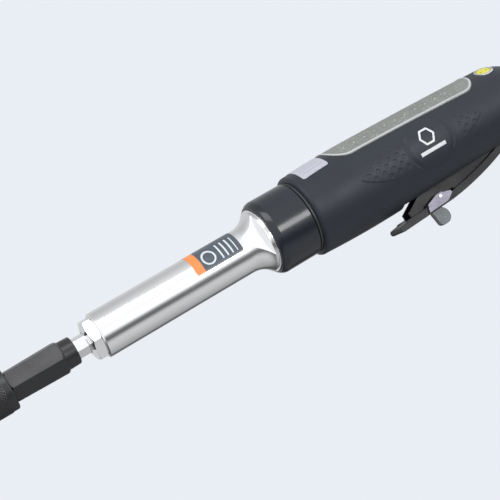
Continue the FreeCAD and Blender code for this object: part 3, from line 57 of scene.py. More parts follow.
# ------------------------------------------------------------------ node wiring
class Wiring:
    """Adds and joins the nodes of one shader tree."""

    def __init__(self, tree: bpy.types.NodeTree) -> None:
        """Starts from a tree, which is emptied."""
        self.tree = tree
        tree.nodes.clear()

    def node(self, kind: str, **settings: object) -> bpy.types.Node:
        """Adds a node.

        Args:
            kind: Blender's node type.
            settings: attributes to set on it.

        Returns:
            The new node.
        """
        made = self.tree.nodes.new(kind)
        for name, value in settings.items():
            setattr(made, name, value)
        return made

    def feed(self, socket: bpy.types.NodeSocket, value: object) -> None:
        """Links a socket to another, or sets its plain value.

        Args:
            socket: the input to feed.
            value: an output socket, or a number, colour or vector.
        """
        if isinstance(value, bpy.types.NodeSocket):
            self.tree.links.new(value, socket)
        elif isinstance(value, tuple) and len(value) == 3 and socket.type == "RGBA":
            socket.default_value = (*value, 1.0)
        else:
            socket.default_value = value

    def maths(self, operation: str, *values: object, clamp: bool = False) -> bpy.types.NodeSocket:
        """Joins values by one sum.

        Args:
            operation: Blender's name of it.
            values: its inputs in order.
            clamp: whether the result stays within 0 and 1.

        Returns:
            The result's socket.
        """
        made = self.node("ShaderNodeMath", operation=operation, use_clamp=clamp)
        for socket, value in zip(made.inputs, values):
            self.feed(socket, value)
        return made.outputs[0]

    def blend(self, share: object, low: object, high: object, mode: str = "MIX") -> bpy.types.NodeSocket:
        """Mixes two colours.

        Args:
            share: how much of the second shows.
            low: the first colour.
            high: the second colour.
            mode: how they mix.

        Returns:
            The mixed colour's socket.
        """
        made = self.node("ShaderNodeMix", data_type="RGBA", blend_type=mode)
        self.feed(made.inputs[0], share)
        self.feed(made.inputs[6], low)
        self.feed(made.inputs[7], high)
        return made.outputs[2]

    def spread(self, value: object, low: float, high: float, to_low: object = 0.0,
               to_high: object = 1.0) -> bpy.types.NodeSocket:
        """Stretches a value from one span to another, held within it.

        Args:
            value: what is stretched.
            low: the value that becomes to_low.
            high: the value that becomes to_high.
            to_low: the result at low.
            to_high: the result at high.

        Returns:
            The result's socket.
        """
        made = self.node("ShaderNodeMapRange", clamp=True)
        for name, given in zip(("Value", "From Min", "From Max", "To Min", "To Max"),
                               (value, low, high, to_low, to_high)):
            self.feed(made.inputs[name], given)
        return made.outputs[0]

    def noise(self, place: object, scale: object, detail: float = 3.0,
              rough: float = 0.55) -> bpy.types.NodeSocket:
        """A soft random pattern.

        Args:
            place: the coordinates it is laid on.
            scale: lumps per metre.
            detail: how many finer layers it has.
            rough: how strong the finer layers are.

        Returns:
            The pattern's value socket.
        """
        made = self.node("ShaderNodeTexNoise")
        self.feed(made.inputs["Vector"], place)
        self.feed(made.inputs["Scale"], scale)
        made.inputs["Detail"].default_value = detail
        made.inputs["Roughness"].default_value = rough
        return made.outputs["Fac"]

    def band(self, value: object, low: float, high: float, soft: float) -> bpy.types.NodeSocket:
        """A mask that is 1 between two values.

        Args:
            value: what is tested.
            low: where the band starts.
            high: where it ends.
            soft: how wide each edge is.

        Returns:
            The mask's socket.
        """
        rise = self.spread(value, low - soft, low + soft)
        fall = self.spread(value, high - soft, high + soft, 1.0, 0.0)
        return self.maths("MULTIPLY", rise, fall)


class Effect(Enum):
    """The shader effects that several finishes share."""

    SOFT_EDGES = "soft_edges"
    GRAIN = "fine_grain"
    HANDLING = "handling_marks"
    SCRATCHES = "hairline_scratches"


def new_group(name: str, inputs: dict[str, float], outputs: dict[str, str]) -> bpy.types.NodeTree:
    """Makes an empty node group with named sockets.

    Args:
        name: the group's name.
        inputs: name and start value of each input.
        outputs: name and socket type of each output.

    Returns:
        The group.
    """
    group = bpy.data.node_groups.new(name, "ShaderNodeTree")
    for key, value in inputs.items():
        socket = group.interface.new_socket(key, in_out="INPUT", socket_type="NodeSocketFloat")
        socket.default_value = value
    for key, kind in outputs.items():
        group.interface.new_socket(key, in_out="OUTPUT", socket_type=kind)
    return group


def soft_edges_group() -> bpy.types.NodeTree:
    """Rounds the edges' shading and gives a mask of where they are."""
    group = new_group(Effect.SOFT_EDGES.value, {"Radius": 0.0003, "Wear": 0.5, "Patch Scale": 300.0},
                      {"Normal": "NodeSocketVector", "Edge": "NodeSocketFloat"})
    w = Wiring(group)
    given = w.node("NodeGroupInput")
    result = w.node("NodeGroupOutput")
    bevel = w.node("ShaderNodeBevel", samples=6)
    w.feed(bevel.inputs["Radius"], given.outputs["Radius"])
    geometry = w.node("ShaderNodeNewGeometry")
    match = w.node("ShaderNodeVectorMath", operation="DOT_PRODUCT")
    w.feed(match.inputs[0], bevel.outputs["Normal"])
    w.feed(match.inputs[1], geometry.outputs["Normal"])
    turned = w.spread(match.outputs["Value"], 0.99, 0.80)
    place = w.node("ShaderNodeTexCoord").outputs["Object"]
    patches = w.spread(w.noise(place, given.outputs["Patch Scale"], 4.0), 0.35, 0.65)
    w.feed(result.inputs["Normal"], bevel.outputs["Normal"])
    w.feed(result.inputs["Edge"], w.maths("MULTIPLY", w.maths("MULTIPLY", turned, patches),
                                          given.outputs["Wear"], clamp=True))
    return group


def grain_group() -> bpy.types.NodeTree:
    """Fine moulded or cast grain: a height and a light and dark mask."""
    group = new_group(Effect.GRAIN.value, {"Scale": 3000.0},
                      {"Height": "NodeSocketFloat", "Shade": "NodeSocketFloat"})
    w = Wiring(group)
    given = w.node("NodeGroupInput")
    result = w.node("NodeGroupOutput")
    place = w.node("ShaderNodeTexCoord").outputs["Object"]
    cells = w.node("ShaderNodeTexVoronoi", feature="SMOOTH_F1")
    w.feed(cells.inputs["Vector"], place)
    w.feed(cells.inputs["Scale"], given.outputs["Scale"])
    fine = w.noise(place, w.maths("MULTIPLY", given.outputs["Scale"], 0.6), 5.0)
    w.feed(result.inputs["Height"], w.maths("ADD", w.maths("MULTIPLY", cells.outputs["Distance"], 0.6),
                                            w.maths("MULTIPLY", fine, 0.5)))
    w.feed(result.inputs["Shade"], w.spread(fine, 0.3, 0.7))
    return group


def handling_group() -> bpy.types.NodeTree:
    """Faint smears from handling: roughness between two values, and their mask."""
    group = new_group(Effect.HANDLING.value, {"Scale": 60.0, "Smooth": 0.3, "Dull": 0.5},
                      {"Roughness": "NodeSocketFloat", "Smear": "NodeSocketFloat"})
    w = Wiring(group)
    given = w.node("NodeGroupInput")
    result = w.node("NodeGroupOutput")
    place = w.node("ShaderNodeTexCoord").outputs["Object"]
    stretched = w.node("ShaderNodeMapping")
    w.feed(stretched.inputs["Vector"], place)
    stretched.inputs["Scale"].default_value = (0.45, 1.0, 1.0)
    wide = w.noise(stretched.outputs["Vector"], given.outputs["Scale"], 6.0, 0.6)
    mask = w.spread(wide, 0.38, 0.64)
    w.feed(result.inputs["Smear"], mask)
    w.feed(result.inputs["Roughness"], w.spread(mask, 0.0, 1.0, given.outputs["Smooth"],
                                                given.outputs["Dull"]))
    return group


def scratches_group() -> bpy.types.NodeTree:
    """Hairlines left by turning and polishing: a height and a mask."""
    group = new_group(Effect.SCRATCHES.value, {"Along": 4000.0, "Around": 60.0},
                      {"Height": "NodeSocketFloat", "Line": "NodeSocketFloat"})
    w = Wiring(group)
    given = w.node("NodeGroupInput")
    result = w.node("NodeGroupOutput")
    parts = w.node("ShaderNodeSeparateXYZ")
    w.feed(parts.inputs[0], w.node("ShaderNodeTexCoord").outputs["Object"])
    joined = w.node("ShaderNodeCombineXYZ")
    w.feed(joined.inputs[0], w.maths("MULTIPLY", parts.outputs[0], given.outputs["Along"]))
    w.feed(joined.inputs[1], w.maths("MULTIPLY", parts.outputs[1], given.outputs["Around"]))
    w.feed(joined.inputs[2], w.maths("MULTIPLY", parts.outputs[2], given.outputs["Around"]))
    lines = w.noise(joined.outputs[0], 1.0, 4.0, 0.7)
    w.feed(result.inputs["Height"], lines)
    w.feed(result.inputs["Line"], w.spread(lines, 0.58, 0.72))
    return group


class Effects:
    """The shared effects, built once and placed in each material."""

    def __init__(self) -> None:
        """Builds every group."""
        makers: dict[Effect, Callable[[], bpy.types.NodeTree]] = {
            Effect.SOFT_EDGES: soft_edges_group,
            Effect.GRAIN: grain_group,
            Effect.HANDLING: handling_group,
            Effect.SCRATCHES: scratches_group,
        }
        self.groups = {effect: make() for effect, make in makers.items()}

    def place(self, wiring: Wiring, effect: Effect, **values: float) -> bpy.types.Node:
        """Puts an effect in a tree.

        Args:
            wiring: the tree's wiring.
            effect: which one.
            values: its inputs, with _ for a space in a name.

        Returns:
            The group's node.
        """
        made = wiring.node("ShaderNodeGroup", node_tree=self.groups[effect])
        for name, value in values.items():
            made.inputs[name.replace("_", " ")].default_value = value
        return made


# ------------------------------------------------------------------ finishes
@dataclass(frozen=True)
class Finish:
    """A surface finish: colour, gloss, grain and worn edges."""

    colour: Colour
    shade: Colour
    smooth: float = 0.35
    dull: float = 0.5
    metallic: float = 0.0
    specular: float = 0.5
    coat: float = 0.0
    sheen: float = 0.0
    grain_scale: float = 3000.0
    grain_height: float = 0.00002
    smear_scale: float = 60.0
    edge_radius: float = 0.0003
    edge_wear: float = 0.35
    edge_colour: Colour = (0.3, 0.3, 0.3)
    lines_along: float = 0.0
    lines_around: float = 60.0
    line_height: float = 0.000004

    def pattern(self, w: Wiring, base: bpy.types.NodeSocket) -> bpy.types.NodeSocket:
        """The printed or moulded pattern over the base colour; plain here."""
        return base

    def material(self, name: str, effects: Effects) -> bpy.types.Material:
        """Builds the finish as a material.

        Args:
            name: the material's name.
            effects: the shared effects.

        Returns:
            The material.
        """
        made = bpy.data.materials.new(name)
        made.use_nodes = True
        w = Wiring(made.node_tree)
        surface = w.node("ShaderNodeOutputMaterial")
        shader = w.node("ShaderNodeBsdfPrincipled")
        w.tree.links.new(shader.outputs[0], surface.inputs[0])
        edges = effects.place(w, Effect.SOFT_EDGES, Radius=self.edge_radius, Wear=self.edge_wear)
        grain = effects.place(w, Effect.GRAIN, Scale=self.grain_scale)
        handling = effects.place(w, Effect.HANDLING, Scale=self.smear_scale, Smooth=self.smooth,
                                 Dull=self.dull)
        mottled = w.blend(w.maths("MULTIPLY", grain.outputs["Shade"], handling.outputs["Smear"]),
                          self.colour, self.shade)
        patterned = self.pattern(w, mottled)
        w.feed(shader.inputs["Base Color"], w.blend(edges.outputs["Edge"], patterned, self.edge_colour))
        roughness = handling.outputs["Roughness"]
        bump = w.node("ShaderNodeBump")
        bump.inputs["Strength"].default_value = 1.0
        bump.inputs["Distance"].default_value = self.grain_height
        w.feed(bump.inputs["Height"], grain.outputs["Height"])
        w.feed(bump.inputs["Normal"], edges.outputs["Normal"])
        if self.lines_along:
            lines = effects.place(w, Effect.SCRATCHES, Along=self.lines_along, Around=self.lines_around)
            fine = w.node("ShaderNodeBump")
            fine.inputs["Strength"].default_value = 1.0
            fine.inputs["Distance"].default_value = self.line_height
            w.feed(fine.inputs["Height"], lines.outputs["Height"])
            w.feed(fine.inputs["Normal"], bump.outputs["Normal"])
            bump = fine
            roughness = w.maths("ADD", roughness, w.maths("MULTIPLY", lines.outputs["Line"], 0.08),
                                clamp=True)
        w.feed(shader.inputs["Roughness"], roughness)
        w.feed(shader.inputs["Normal"], bump.outputs["Normal"])
        shader.inputs["Metallic"].default_value = self.metallic
        shader.inputs["Specular IOR Level"].default_value = self.specular
        shader.inputs["Coat Weight"].default_value = self.coat
        shader.inputs["Sheen Weight"].default_value = self.sheen
        return made


@dataclass(frozen=True)
class SpeckledFinish(Finish):
    """Moulded rubber with pale and dark flecks."""

    fleck_scale: float = 1500.0
    pale: Colour = (0.5, 0.52, 0.48)

    def pattern(self, w: Wiring, base: bpy.types.NodeSocket) -> bpy.types.NodeSocket:
        """Adds the flecks.

        Args:
            w: the material's wiring.
            base: the colour beneath.

        Returns:
            The flecked colour.
        """
        place = w.node("ShaderNodeTexCoord").outputs["Object"]
        flecks = w.spread(w.noise(place, self.fleck_scale, 2.0), 0.56, 0.66)
        cloud = w.spread(w.noise(place, self.fleck_scale * 0.12, 3.0), 0.35, 0.65, 0.15, 0.6)
        return w.blend(w.maths("MULTIPLY", flecks, cloud), base, self.pale)


@dataclass(frozen=True)
class NeckStickerFinish(Finish):
    """Printed sticker: an orange end, then a slate field with plain pale bars and a disc."""

    orange: Colour = (0.72, 0.22, 0.06)
    pale: Colour = (0.55, 0.60, 0.64)
    orange_end_x: float = -230.1 * MM
    disc_x: float = -224.9 * MM
    disc_radius: float = 3.4 * MM
    disc_stroke: float = 0.45 * MM
    bars_from_x: float = -219.6 * MM
    bars_to_x: float = -209.4 * MM
    bar_pitch: float = 2.9 * MM
    print_floor_z: float = 2.0 * MM
    print_top_z: float = 10.2 * MM

    def pattern(self, w: Wiring, base: bpy.types.NodeSocket) -> bpy.types.NodeSocket:
        """Prints the fields.

        Args:
            w: the material's wiring.
            base: the slate beneath.

        Returns:
            The printed colour.
        """
        parts = w.node("ShaderNodeSeparateXYZ")
        w.feed(parts.inputs[0], w.node("ShaderNodeTexCoord").outputs["Object"])
        along, up = parts.outputs[0], parts.outputs[2]
        repeats = w.maths("FRACT", w.maths("DIVIDE", w.maths("SUBTRACT", along, self.bars_from_x),
                                           self.bar_pitch))
        bars = w.band(repeats, 0.32, 0.62, 0.03)
        bars = w.maths("MULTIPLY", bars, w.band(along, self.bars_from_x, self.bars_to_x, 0.02 * MM))
        bars = w.maths("MULTIPLY", bars, w.band(up, self.print_floor_z, self.print_top_z, 0.05 * MM))
        middle = (self.print_floor_z + self.print_top_z) / 2
        reach = w.maths("SQRT", w.maths("ADD", w.maths("POWER", w.maths("SUBTRACT", along, self.disc_x), 2.0),
                                        w.maths("POWER", w.maths("SUBTRACT", up, middle), 2.0)))
        ring = w.band(reach, self.disc_radius - self.disc_stroke, self.disc_radius + self.disc_stroke,
                      0.05 * MM)
        marked = w.blend(w.maths("MAXIMUM", bars, ring), base, self.pale)
        return w.blend(w.spread(along, self.orange_end_x - 0.05 * MM, self.orange_end_x + 0.05 * MM, 1.0,
                                0.0),
                       marked, self.orange)


@dataclass(frozen=True)
class FoilFinish(Finish):
    """Printed foil with a few plain grey lines."""

    ink: Colour = (0.22, 0.23, 0.26)
    line_from_x: float = -158.5 * MM
    line_to_x: float = -146.0 * MM
    line_pitch: float = 2.6 * MM

    def pattern(self, w: Wiring, base: bpy.types.NodeSocket) -> bpy.types.NodeSocket:
        """Prints the lines.

        Args:
            w: the material's wiring.
            base: the foil's colour.

        Returns:
            The printed colour.
        """
        parts = w.node("ShaderNodeSeparateXYZ")
        w.feed(parts.inputs[0], w.node("ShaderNodeTexCoord").outputs["Object"])
        repeats = w.maths("FRACT", w.maths("DIVIDE", parts.outputs[1], self.line_pitch))
        lines = w.band(repeats, 0.42, 0.60, 0.03)
        lines = w.maths("MULTIPLY", lines, w.band(parts.outputs[0], self.line_from_x, self.line_to_x,
                                                  0.05 * MM))
        return w.blend(w.maths("MULTIPLY", lines, 0.4), base, self.ink)


FINISHES: dict[str, Finish] = {
    "black_housing": Finish((0.035, 0.038, 0.043), (0.02, 0.022, 0.026), 0.35, 0.5, grain_height=0.00002),
    "grip_rubber": Finish((0.019, 0.023, 0.031), (0.015, 0.018, 0.025), 0.42, 0.54, specular=0.28, sheen=0.02,
                          grain_scale=4200.0, grain_height=0.000018, edge_radius=0.0005, edge_wear=0.15,
                          edge_colour=(0.05, 0.055, 0.068)),
    "grey_insert": SpeckledFinish((0.17, 0.18, 0.17), (0.125, 0.132, 0.125), 0.5, 0.65, grain_height=0.00005,
                                  grain_scale=2200.0, edge_wear=0.2, edge_colour=(0.45, 0.46, 0.45)),
    "silver_label": FoilFinish((0.50, 0.50, 0.57), (0.42, 0.42, 0.49), 0.3, 0.42, metallic=0.35,
                               grain_height=0.000004, edge_radius=0.0001),
    "black_nut": Finish((0.013, 0.016, 0.022), (0.010, 0.013, 0.018), 0.14, 0.22, specular=0.4, coat=0.12,
                        grain_height=0.000004, edge_radius=0.0006, edge_wear=0.3,
                        edge_colour=(0.10, 0.105, 0.12)),
    "polished_steel": Finish((0.86, 0.86, 0.87), (0.78, 0.78, 0.79), 0.10, 0.2, metallic=1.0,
                             grain_height=0.000001,
                             smear_scale=40.0, edge_radius=0.0004, edge_wear=0.25,
                             edge_colour=(0.92, 0.92, 0.93),
                             lines_along=5200.0, lines_around=70.0, line_height=0.0000035),
    "neck_sticker": NeckStickerFinish((0.060, 0.075, 0.095), (0.05, 0.062, 0.08), 0.25, 0.4,
                                      grain_height=0.000003,
                                      edge_radius=0.0001, edge_wear=0.0),
    "seal_rubber": Finish((0.02, 0.02, 0.02), (0.03, 0.03, 0.03), 0.5, 0.65),
    "black_oxide": Finish((0.022, 0.022, 0.024), (0.016, 0.016, 0.018), 0.27, 0.38, metallic=0.2,
                          grain_height=0.000006, edge_radius=0.0004, edge_wear=0.6,
                          edge_colour=(0.16, 0.16, 0.165), lines_along=2600.0, line_height=0.000004),
    "spring_steel": Finish((0.5, 0.5, 0.51), (0.38, 0.38, 0.39), 0.25, 0.4, metallic=1.0, edge_radius=0.0001),
    "machined_steel": Finish((0.56, 0.56, 0.57), (0.45, 0.45, 0.46), 0.22, 0.38, metallic=1.0,
                             grain_height=0.000004, lines_along=3000.0, line_height=0.000005),
    "vane_resin": Finish((0.24, 0.14, 0.07), (0.18, 0.10, 0.05), 0.5, 0.7, grain_scale=1800.0),
    "lever_black": Finish((0.007, 0.007, 0.009), (0.005, 0.005, 0.007), 0.32, 0.45, specular=0.25,
                          grain_height=0.00001, edge_radius=0.00045, edge_wear=0.55,
                          edge_colour=(0.14, 0.145, 0.155)),
    "bracket_steel": Finish((0.19, 0.18, 0.22), (0.12, 0.115, 0.145), 0.32, 0.5, metallic=0.6,
                            grain_height=0.000006, edge_radius=0.0003, edge_wear=0.5,
                            edge_colour=(0.5, 0.5, 0.53)),
    "slate_tab": Finish((0.075, 0.09, 0.10), (0.055, 0.068, 0.078), 0.3, 0.45, grain_height=0.00001,
                        edge_radius=0.0004, edge_wear=0.5, edge_colour=(0.2, 0.22, 0.235)),
    "brass": Finish((0.62, 0.44, 0.18), (0.5, 0.34, 0.13), 0.22, 0.4, metallic=1.0, lines_along=3000.0),
    "muffler_felt": Finish((0.20, 0.19, 0.17), (0.13, 0.125, 0.11), 0.8, 0.95, grain_scale=1600.0,
                           grain_height=0.00015, edge_wear=0.0),
    "deflector_plastic": Finish((0.028, 0.03, 0.034), (0.02, 0.022, 0.025), 0.4, 0.55, grain_height=0.00002,
                                edge_colour=(0.1, 0.1, 0.11)),
    "yellow_dial": Finish((0.60, 0.56, 0.05), (0.5, 0.46, 0.04), 0.3, 0.45, coat=0.2, grain_height=0.000008,
                          edge_wear=0.2, edge_colour=(0.7, 0.68, 0.2)),
    "bezel_chrome": Finish((0.72, 0.73, 0.75), (0.6, 0.61, 0.63), 0.12, 0.25, metallic=1.0,
                           grain_height=0.000002),
    "mark_white": Finish((0.62, 0.63, 0.65), (0.5, 0.51, 0.53), 0.35, 0.5, grain_height=0.000008,
                         edge_radius=0.0001, edge_wear=0.0),
    "insert_rim": Finish((0.42, 0.435, 0.44), (0.34, 0.35, 0.355), 0.42, 0.55, grain_height=0.00001,
                         edge_radius=0.0002, edge_wear=0.0),
}


class Paintshop:
    """Holds the materials and dresses nodes and pieces."""

    def __init__(self) -> None:
        """Builds every material once."""
        effects = Effects()
        self.materials = {name: finish.material(name, effects) for name, finish in FINISHES.items()}

    def dress(self, piece: bpy.types.Object, name: str) -> None:
        """Gives a piece its finish.

        Args:
            piece: a mesh object.
            name: the finish's name.
        """
        piece.data.materials.clear()
        piece.data.materials.append(self.materials[name])

    def dress_nodes(self) -> None:
        """Gives each CAD node the finish of its material slot."""
        for part in frame["record"]["subparts"]:
            self.dress(frame["nodes"][part["node"]], part["material_slot"])


# ------------------------------------------------------------------ mesh work
def smooth(value: float) -> float:
    """A soft step from 0 to 1."""
    held = min(1.0, max(0.0, value))
    return held * held * (3 - 2 * held)


def around(x: float, angle: float, radius: float) -> Vector:
    """A point by its place along the tool, its angle above the near side, in degrees, and its radius."""
    turn = math.radians(angle)
    return Vector((x, -math.cos(turn) * radius, math.sin(turn) * radius))


class Skin:
    """The outer surface of one CAD node, to lay details on."""

    def __init__(self, node: str) -> None:
        """Reads the node's mesh."""
        mesh = frame["nodes"][node].data
        self.tree = BVHTree.FromPolygons([v.co.copy() for v in mesh.vertices],
                                         [tuple(p.vertices) for p in mesh.polygons])

    def radius(self, x: float, angle: float) -> float:
        """The surface's radius there, seen from outside.

        Args:
            x: place along the tool.
            angle: degrees above the near side.

        Returns:
            The radius in metres.
        """
        start = around(x, angle, 60 * MM)
        hit = self.tree.ray_cast(start, around(0.0, angle, -1.0))[0]
        return Vector((0.0, hit.y, hit.z)).length

    def height(self, x: float, y: float) -> float:
        """The surface's height above the axis, seen from straight above.

        Args:
            x: place along the tool.
            y: place across it.

        Returns:
            The height in metres.
        """
        return self.tree.ray_cast(Vector((x, y, 60 * MM)), Vector((0, 0, -1)))[0].z


@dataclass
class Draft:
    """Points and faces of a mesh that is being made."""

    points: list[Vector] = field(default_factory=list)
    faces: list[tuple[int, ...]] = field(default_factory=list)

    def slab(self, columns: int, rows: int, top: Callable[[int, int], Vector],
             bottom: Callable[[int, int], Vector], kept: Callable[[int, int], bool]) -> None:
        """Adds a closed slab over a grid of cells.

        Args:
            columns: cells along.
            rows: cells across.
            top: the upper point of a grid corner.
            bottom: the lower point of a grid corner.
            kept: whether a cell is part of the slab.
        """
        cells = {(i, j) for i in range(columns) for j in range(rows) if kept(i, j)}
        index: dict[tuple[int, int, bool], int] = {}

        def corner(i: int, j: int, upper: bool) -> int:
            """The number of a grid corner's point, made when it is first asked for."""
            key = (i, j, upper)
            if key not in index:
                index[key] = len(self.points)
                self.points.append((top if upper else bottom)(i, j))
            return index[key]

        for i, j in sorted(cells):
            ring = [(i, j), (i + 1, j), (i + 1, j + 1), (i, j + 1)]
            self.faces.append(tuple(corner(*c, True) for c in ring))
            self.faces.append(tuple(corner(*c, False) for c in reversed(ring)))
            beside = [(i, j - 1), (i + 1, j), (i, j + 1), (i - 1, j)]
            for n, other in enumerate(beside):
                if other not in cells:
                    a, b = ring[n], ring[(n + 1) % 4]
                    self.faces.append((corner(*a, True), corner(*a, False), corner(*b, False),
                                       corner(*b, True)))

    def tube(self, path: list[Vector], lift: list[Vector], radius: float, sides: int) -> None:
        """Adds a closed loop of round bead.

        Args:
            path: the bead's centre line.
            lift: the outward direction at each of its points.
            radius: the bead's radius.
            sides: how many points its section has.
        """
        start, count = len(self.points), len(path)
        for k, centre in enumerate(path):
            ahead = (path[(k + 1) % count] - path[k - 1]).normalized()
            side = ahead.cross(lift[k]).normalized()
            out = side.cross(ahead).normalized()
            for s in range(sides):
                turn = 2 * math.pi * s / sides
                self.points.append(centre + (side * math.cos(turn) + out * math.sin(turn)) * radius)
        for k in range(count):
            for s in range(sides):
                a, b = start + k * sides, start + (k + 1) % count * sides
                t = (s + 1) % sides
                self.faces.append((a + s, b + s, b + t, a + t))

    def piece(self, name: str, body: str, slot: str | None = None, flat: bool = False) -> bpy.types.Object:
        """Turns the draft into a piece that rides on a body.

        Args:
            name: the piece's name.
            body: the CAD body it rides on.
            slot: the record's material slot, if it has one; not used.
            flat: whether its faces stay flat.

        Returns:
            The piece.
        """
        mesh = bpy.data.meshes.new(name)
        mesh.from_pydata([tuple(p) for p in self.points], [], self.faces)
        mesh.validate()
        made = bpy.data.objects.new(name, mesh)
        bpy.context.scene.collection.objects.link(made)
        mesh.polygons.foreach_set("use_smooth", [not flat] * len(mesh.polygons))
        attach(made, body)
        log.info("%s: %d faces on %s", name, len(mesh.polygons), body)
        return made


# ------------------------------------------------------------------ sub-assemblies
@dataclass
class GripRelief:
    """Raised lens on the grip's side with dimples, a roundel and a plain mark."""

    paint: Paintshop
    middle_x: float = MID_TOOL_X + 105.8 * MM
    middle_angle: float = 1.2
    half_length: float = 42.5 * MM
    half_height: float = 12.6 * MM
    raise_height: float = 0.28 * MM
    edge_run: float = 1.5 * MM
    sunk: float = 0.16 * MM
    root: float = 0.5 * MM
    cell: float = 0.36 * MM
    roundel_x: float = MID_TOOL_X + 110.4 * MM
    roundel_r: float = 14.2 * MM
    roundel_height: float = 0.55 * MM
    groove_width: float = 0.55 * MM
    groove_depth: float = 0.32 * MM
    dimple_r: float = 0.9 * MM
    dimple_depth: float = 0.85 * MM
    dimple_pitch: float = 5.87 * MM
    row_step: float = 2.8 * MM
    mark_r: float = 5.2 * MM
    mark_stroke: float = 1.25 * MM
    mark_lift: float = 0.14 * MM
    mark_rise: float = 3.2 * MM
    bar_drop: float = 8.6 * MM
    bar_cell: float = 0.5 * MM
    bar_columns: int = 34
    bar_rows: int = 4
    ridge_offset: float = 3.2
    ridge_share: float = 0.5

    def __post_init__(self) -> None:
        """Reads the grip's surface and lays out the dimples."""
        self.skin = Skin("rubber_grip")
        self.base_r = self.skin.radius(self.middle_x, self.middle_angle)
        front = MID_TOOL_X + 69.1 * MM
        rear = MID_TOOL_X + 132.3 * MM
        rows = [(front, 0, 5), (front + self.dimple_pitch / 2, 1, 4), (front + self.dimple_pitch * 2, 2, 3),
                (rear, 0, 3), (rear + self.dimple_pitch / 2, 1, 2), (rear, 2, 1)]
        self.dimples = [(x + n * self.dimple_pitch, side * row * self.row_step)
                        for x, row, count in rows for n in range(count)
                        for side in ((1, -1) if row else (1,))]

    def lens_depth(self, x: float, arc: float) -> float:
        """How far inside the lens's outline a place is, in metres."""
        share = min(1.0, abs(x - self.middle_x) / self.half_length)
        return (1 - share**2) ** 0.8 * self.half_height - abs(arc)

    def roundel_depth(self, x: float, arc: float) -> float:
        """How far inside the roundel a place is, in metres."""
        return self.roundel_r - math.hypot(x - self.roundel_x, arc)

    def relief(self, x: float, arc: float) -> float:
        """The relief's height over the grip at a place.

        Args:
            x: place along the tool.
            arc: place around it, as a length from the lens's centre line.

        Returns:
            The height in metres, below zero where it is sunk in the grip.
        """
        lens = smooth(self.lens_depth(x, arc) / self.edge_run) * self.raise_height
        inside = self.roundel_depth(x, arc)
        disc = smooth(inside / self.edge_run) * self.roundel_height
        groove = math.exp(-((inside + self.groove_width) / self.groove_width) ** 2) * self.groove_depth
        beyond = (inside + self.ridge_offset * self.groove_width) / self.groove_width
        ridge = math.exp(-(beyond ** 2)) * self.groove_depth * self.ridge_share
        level = max(lens, disc)
        if lens > disc:
            level = lens - (groove - ridge) * lens / self.raise_height
        for cx, cy in self.dimples:
            near = math.hypot(x - cx, arc - cy)
            if near < self.dimple_r * 1.3:
                level -= smooth((1.3 - near / self.dimple_r) * 1.6) * self.dimple_depth
        return level - self.sunk * (1 - smooth(max(self.lens_depth(x, arc), inside) / (self.edge_run * 0.5)))

    def spot(self, x: float, arc: float, lift: float) -> Vector:
        """A point over the grip's surface."""
        angle = self.middle_angle + math.degrees(arc / self.base_r)
        return around(x, angle, self.skin.radius(x, angle) + lift)

    def build_lens(self) -> None:
        """The lens with its roundel and dimples, one closed mesh."""
        reach = max(self.half_height, self.roundel_r) + self.cell * 2
        columns = round(2 * (self.half_length + self.cell * 2) / self.cell)
        rows = round(2 * reach / self.cell)
        left, low = self.middle_x - columns * self.cell / 2, -rows * self.cell / 2

        def kept(i: int, j: int) -> bool:
            """Whether a cell is inside the outline or one cell outside it."""
            x, arc = left + (i + 0.5) * self.cell, low + (j + 0.5) * self.cell
            return max(self.lens_depth(x, arc), self.roundel_depth(x, arc)) > -self.cell * 0.8

        draft = Draft()
        draft.slab(columns, rows,
                   lambda i, j: self.spot(left + i * self.cell, low + j * self.cell,
                                          self.relief(left + i * self.cell, low + j * self.cell)),
                   lambda i, j: self.spot(left + i * self.cell, low + j * self.cell, -self.root),
                   kept)
        self.paint.dress(draft.piece("grip_relief", "handle", "grip_rubber"), "grip_rubber")

    def build_mark(self) -> None:
        """A plain hexagon outline over a plain bar, in white."""
        draft = Draft()
        base = self.roundel_height
        centre_arc = self.mark_rise

        def hexagon(i: int, j: int, lift: float) -> Vector:
            """A corner of the hexagon's band."""
            sides_per_edge = 8
            step = i / sides_per_edge
            turn = math.radians(60 * (int(step) % 6))
            after = math.radians(60 * (int(step) % 6 + 1))
            share = step - int(step)
            size = self.mark_r - self.mark_stroke * (1 - j)
            px = (math.cos(turn) * (1 - share) + math.cos(after) * share) * size
            py = (math.sin(turn) * (1 - share) + math.sin(after) * share) * size
            return self.spot(self.roundel_x + px, centre_arc + py, base + lift)

        count = 48
        start = len(draft.points)
        for i in range(count):
            draft.points += [hexagon(i, 0, self.mark_lift), hexagon(i, 1, self.mark_lift),
                             hexagon(i, 1, -self.mark_lift), hexagon(i, 0, -self.mark_lift)]
        for i in range(count):
            a, b = start + 4 * i, start + 4 * ((i + 1) % count)
            for s in range(4):
                t = (s + 1) % 4
                draft.faces.append((a + s, a + t, b + t, b + s))
        bar_x = self.roundel_x - self.bar_columns * self.bar_cell / 2
        bar_low = centre_arc - self.bar_drop

        def bar(i: int, j: int, lift: float) -> Vector:
            """A point of the bar."""
            return self.spot(bar_x + i * self.bar_cell, bar_low + j * self.bar_cell, base + lift)

        draft.slab(self.bar_columns, self.bar_rows,
                   lambda i, j: bar(i, j, self.mark_lift), lambda i, j: bar(i, j, -self.mark_lift),
                   lambda i, j: True)
        self.paint.dress(draft.piece("roundel_mark", "handle", flat=True), "mark_white")

    def build(self) -> None:
        """Builds both pieces."""
        self.build_lens()
        self.build_mark()


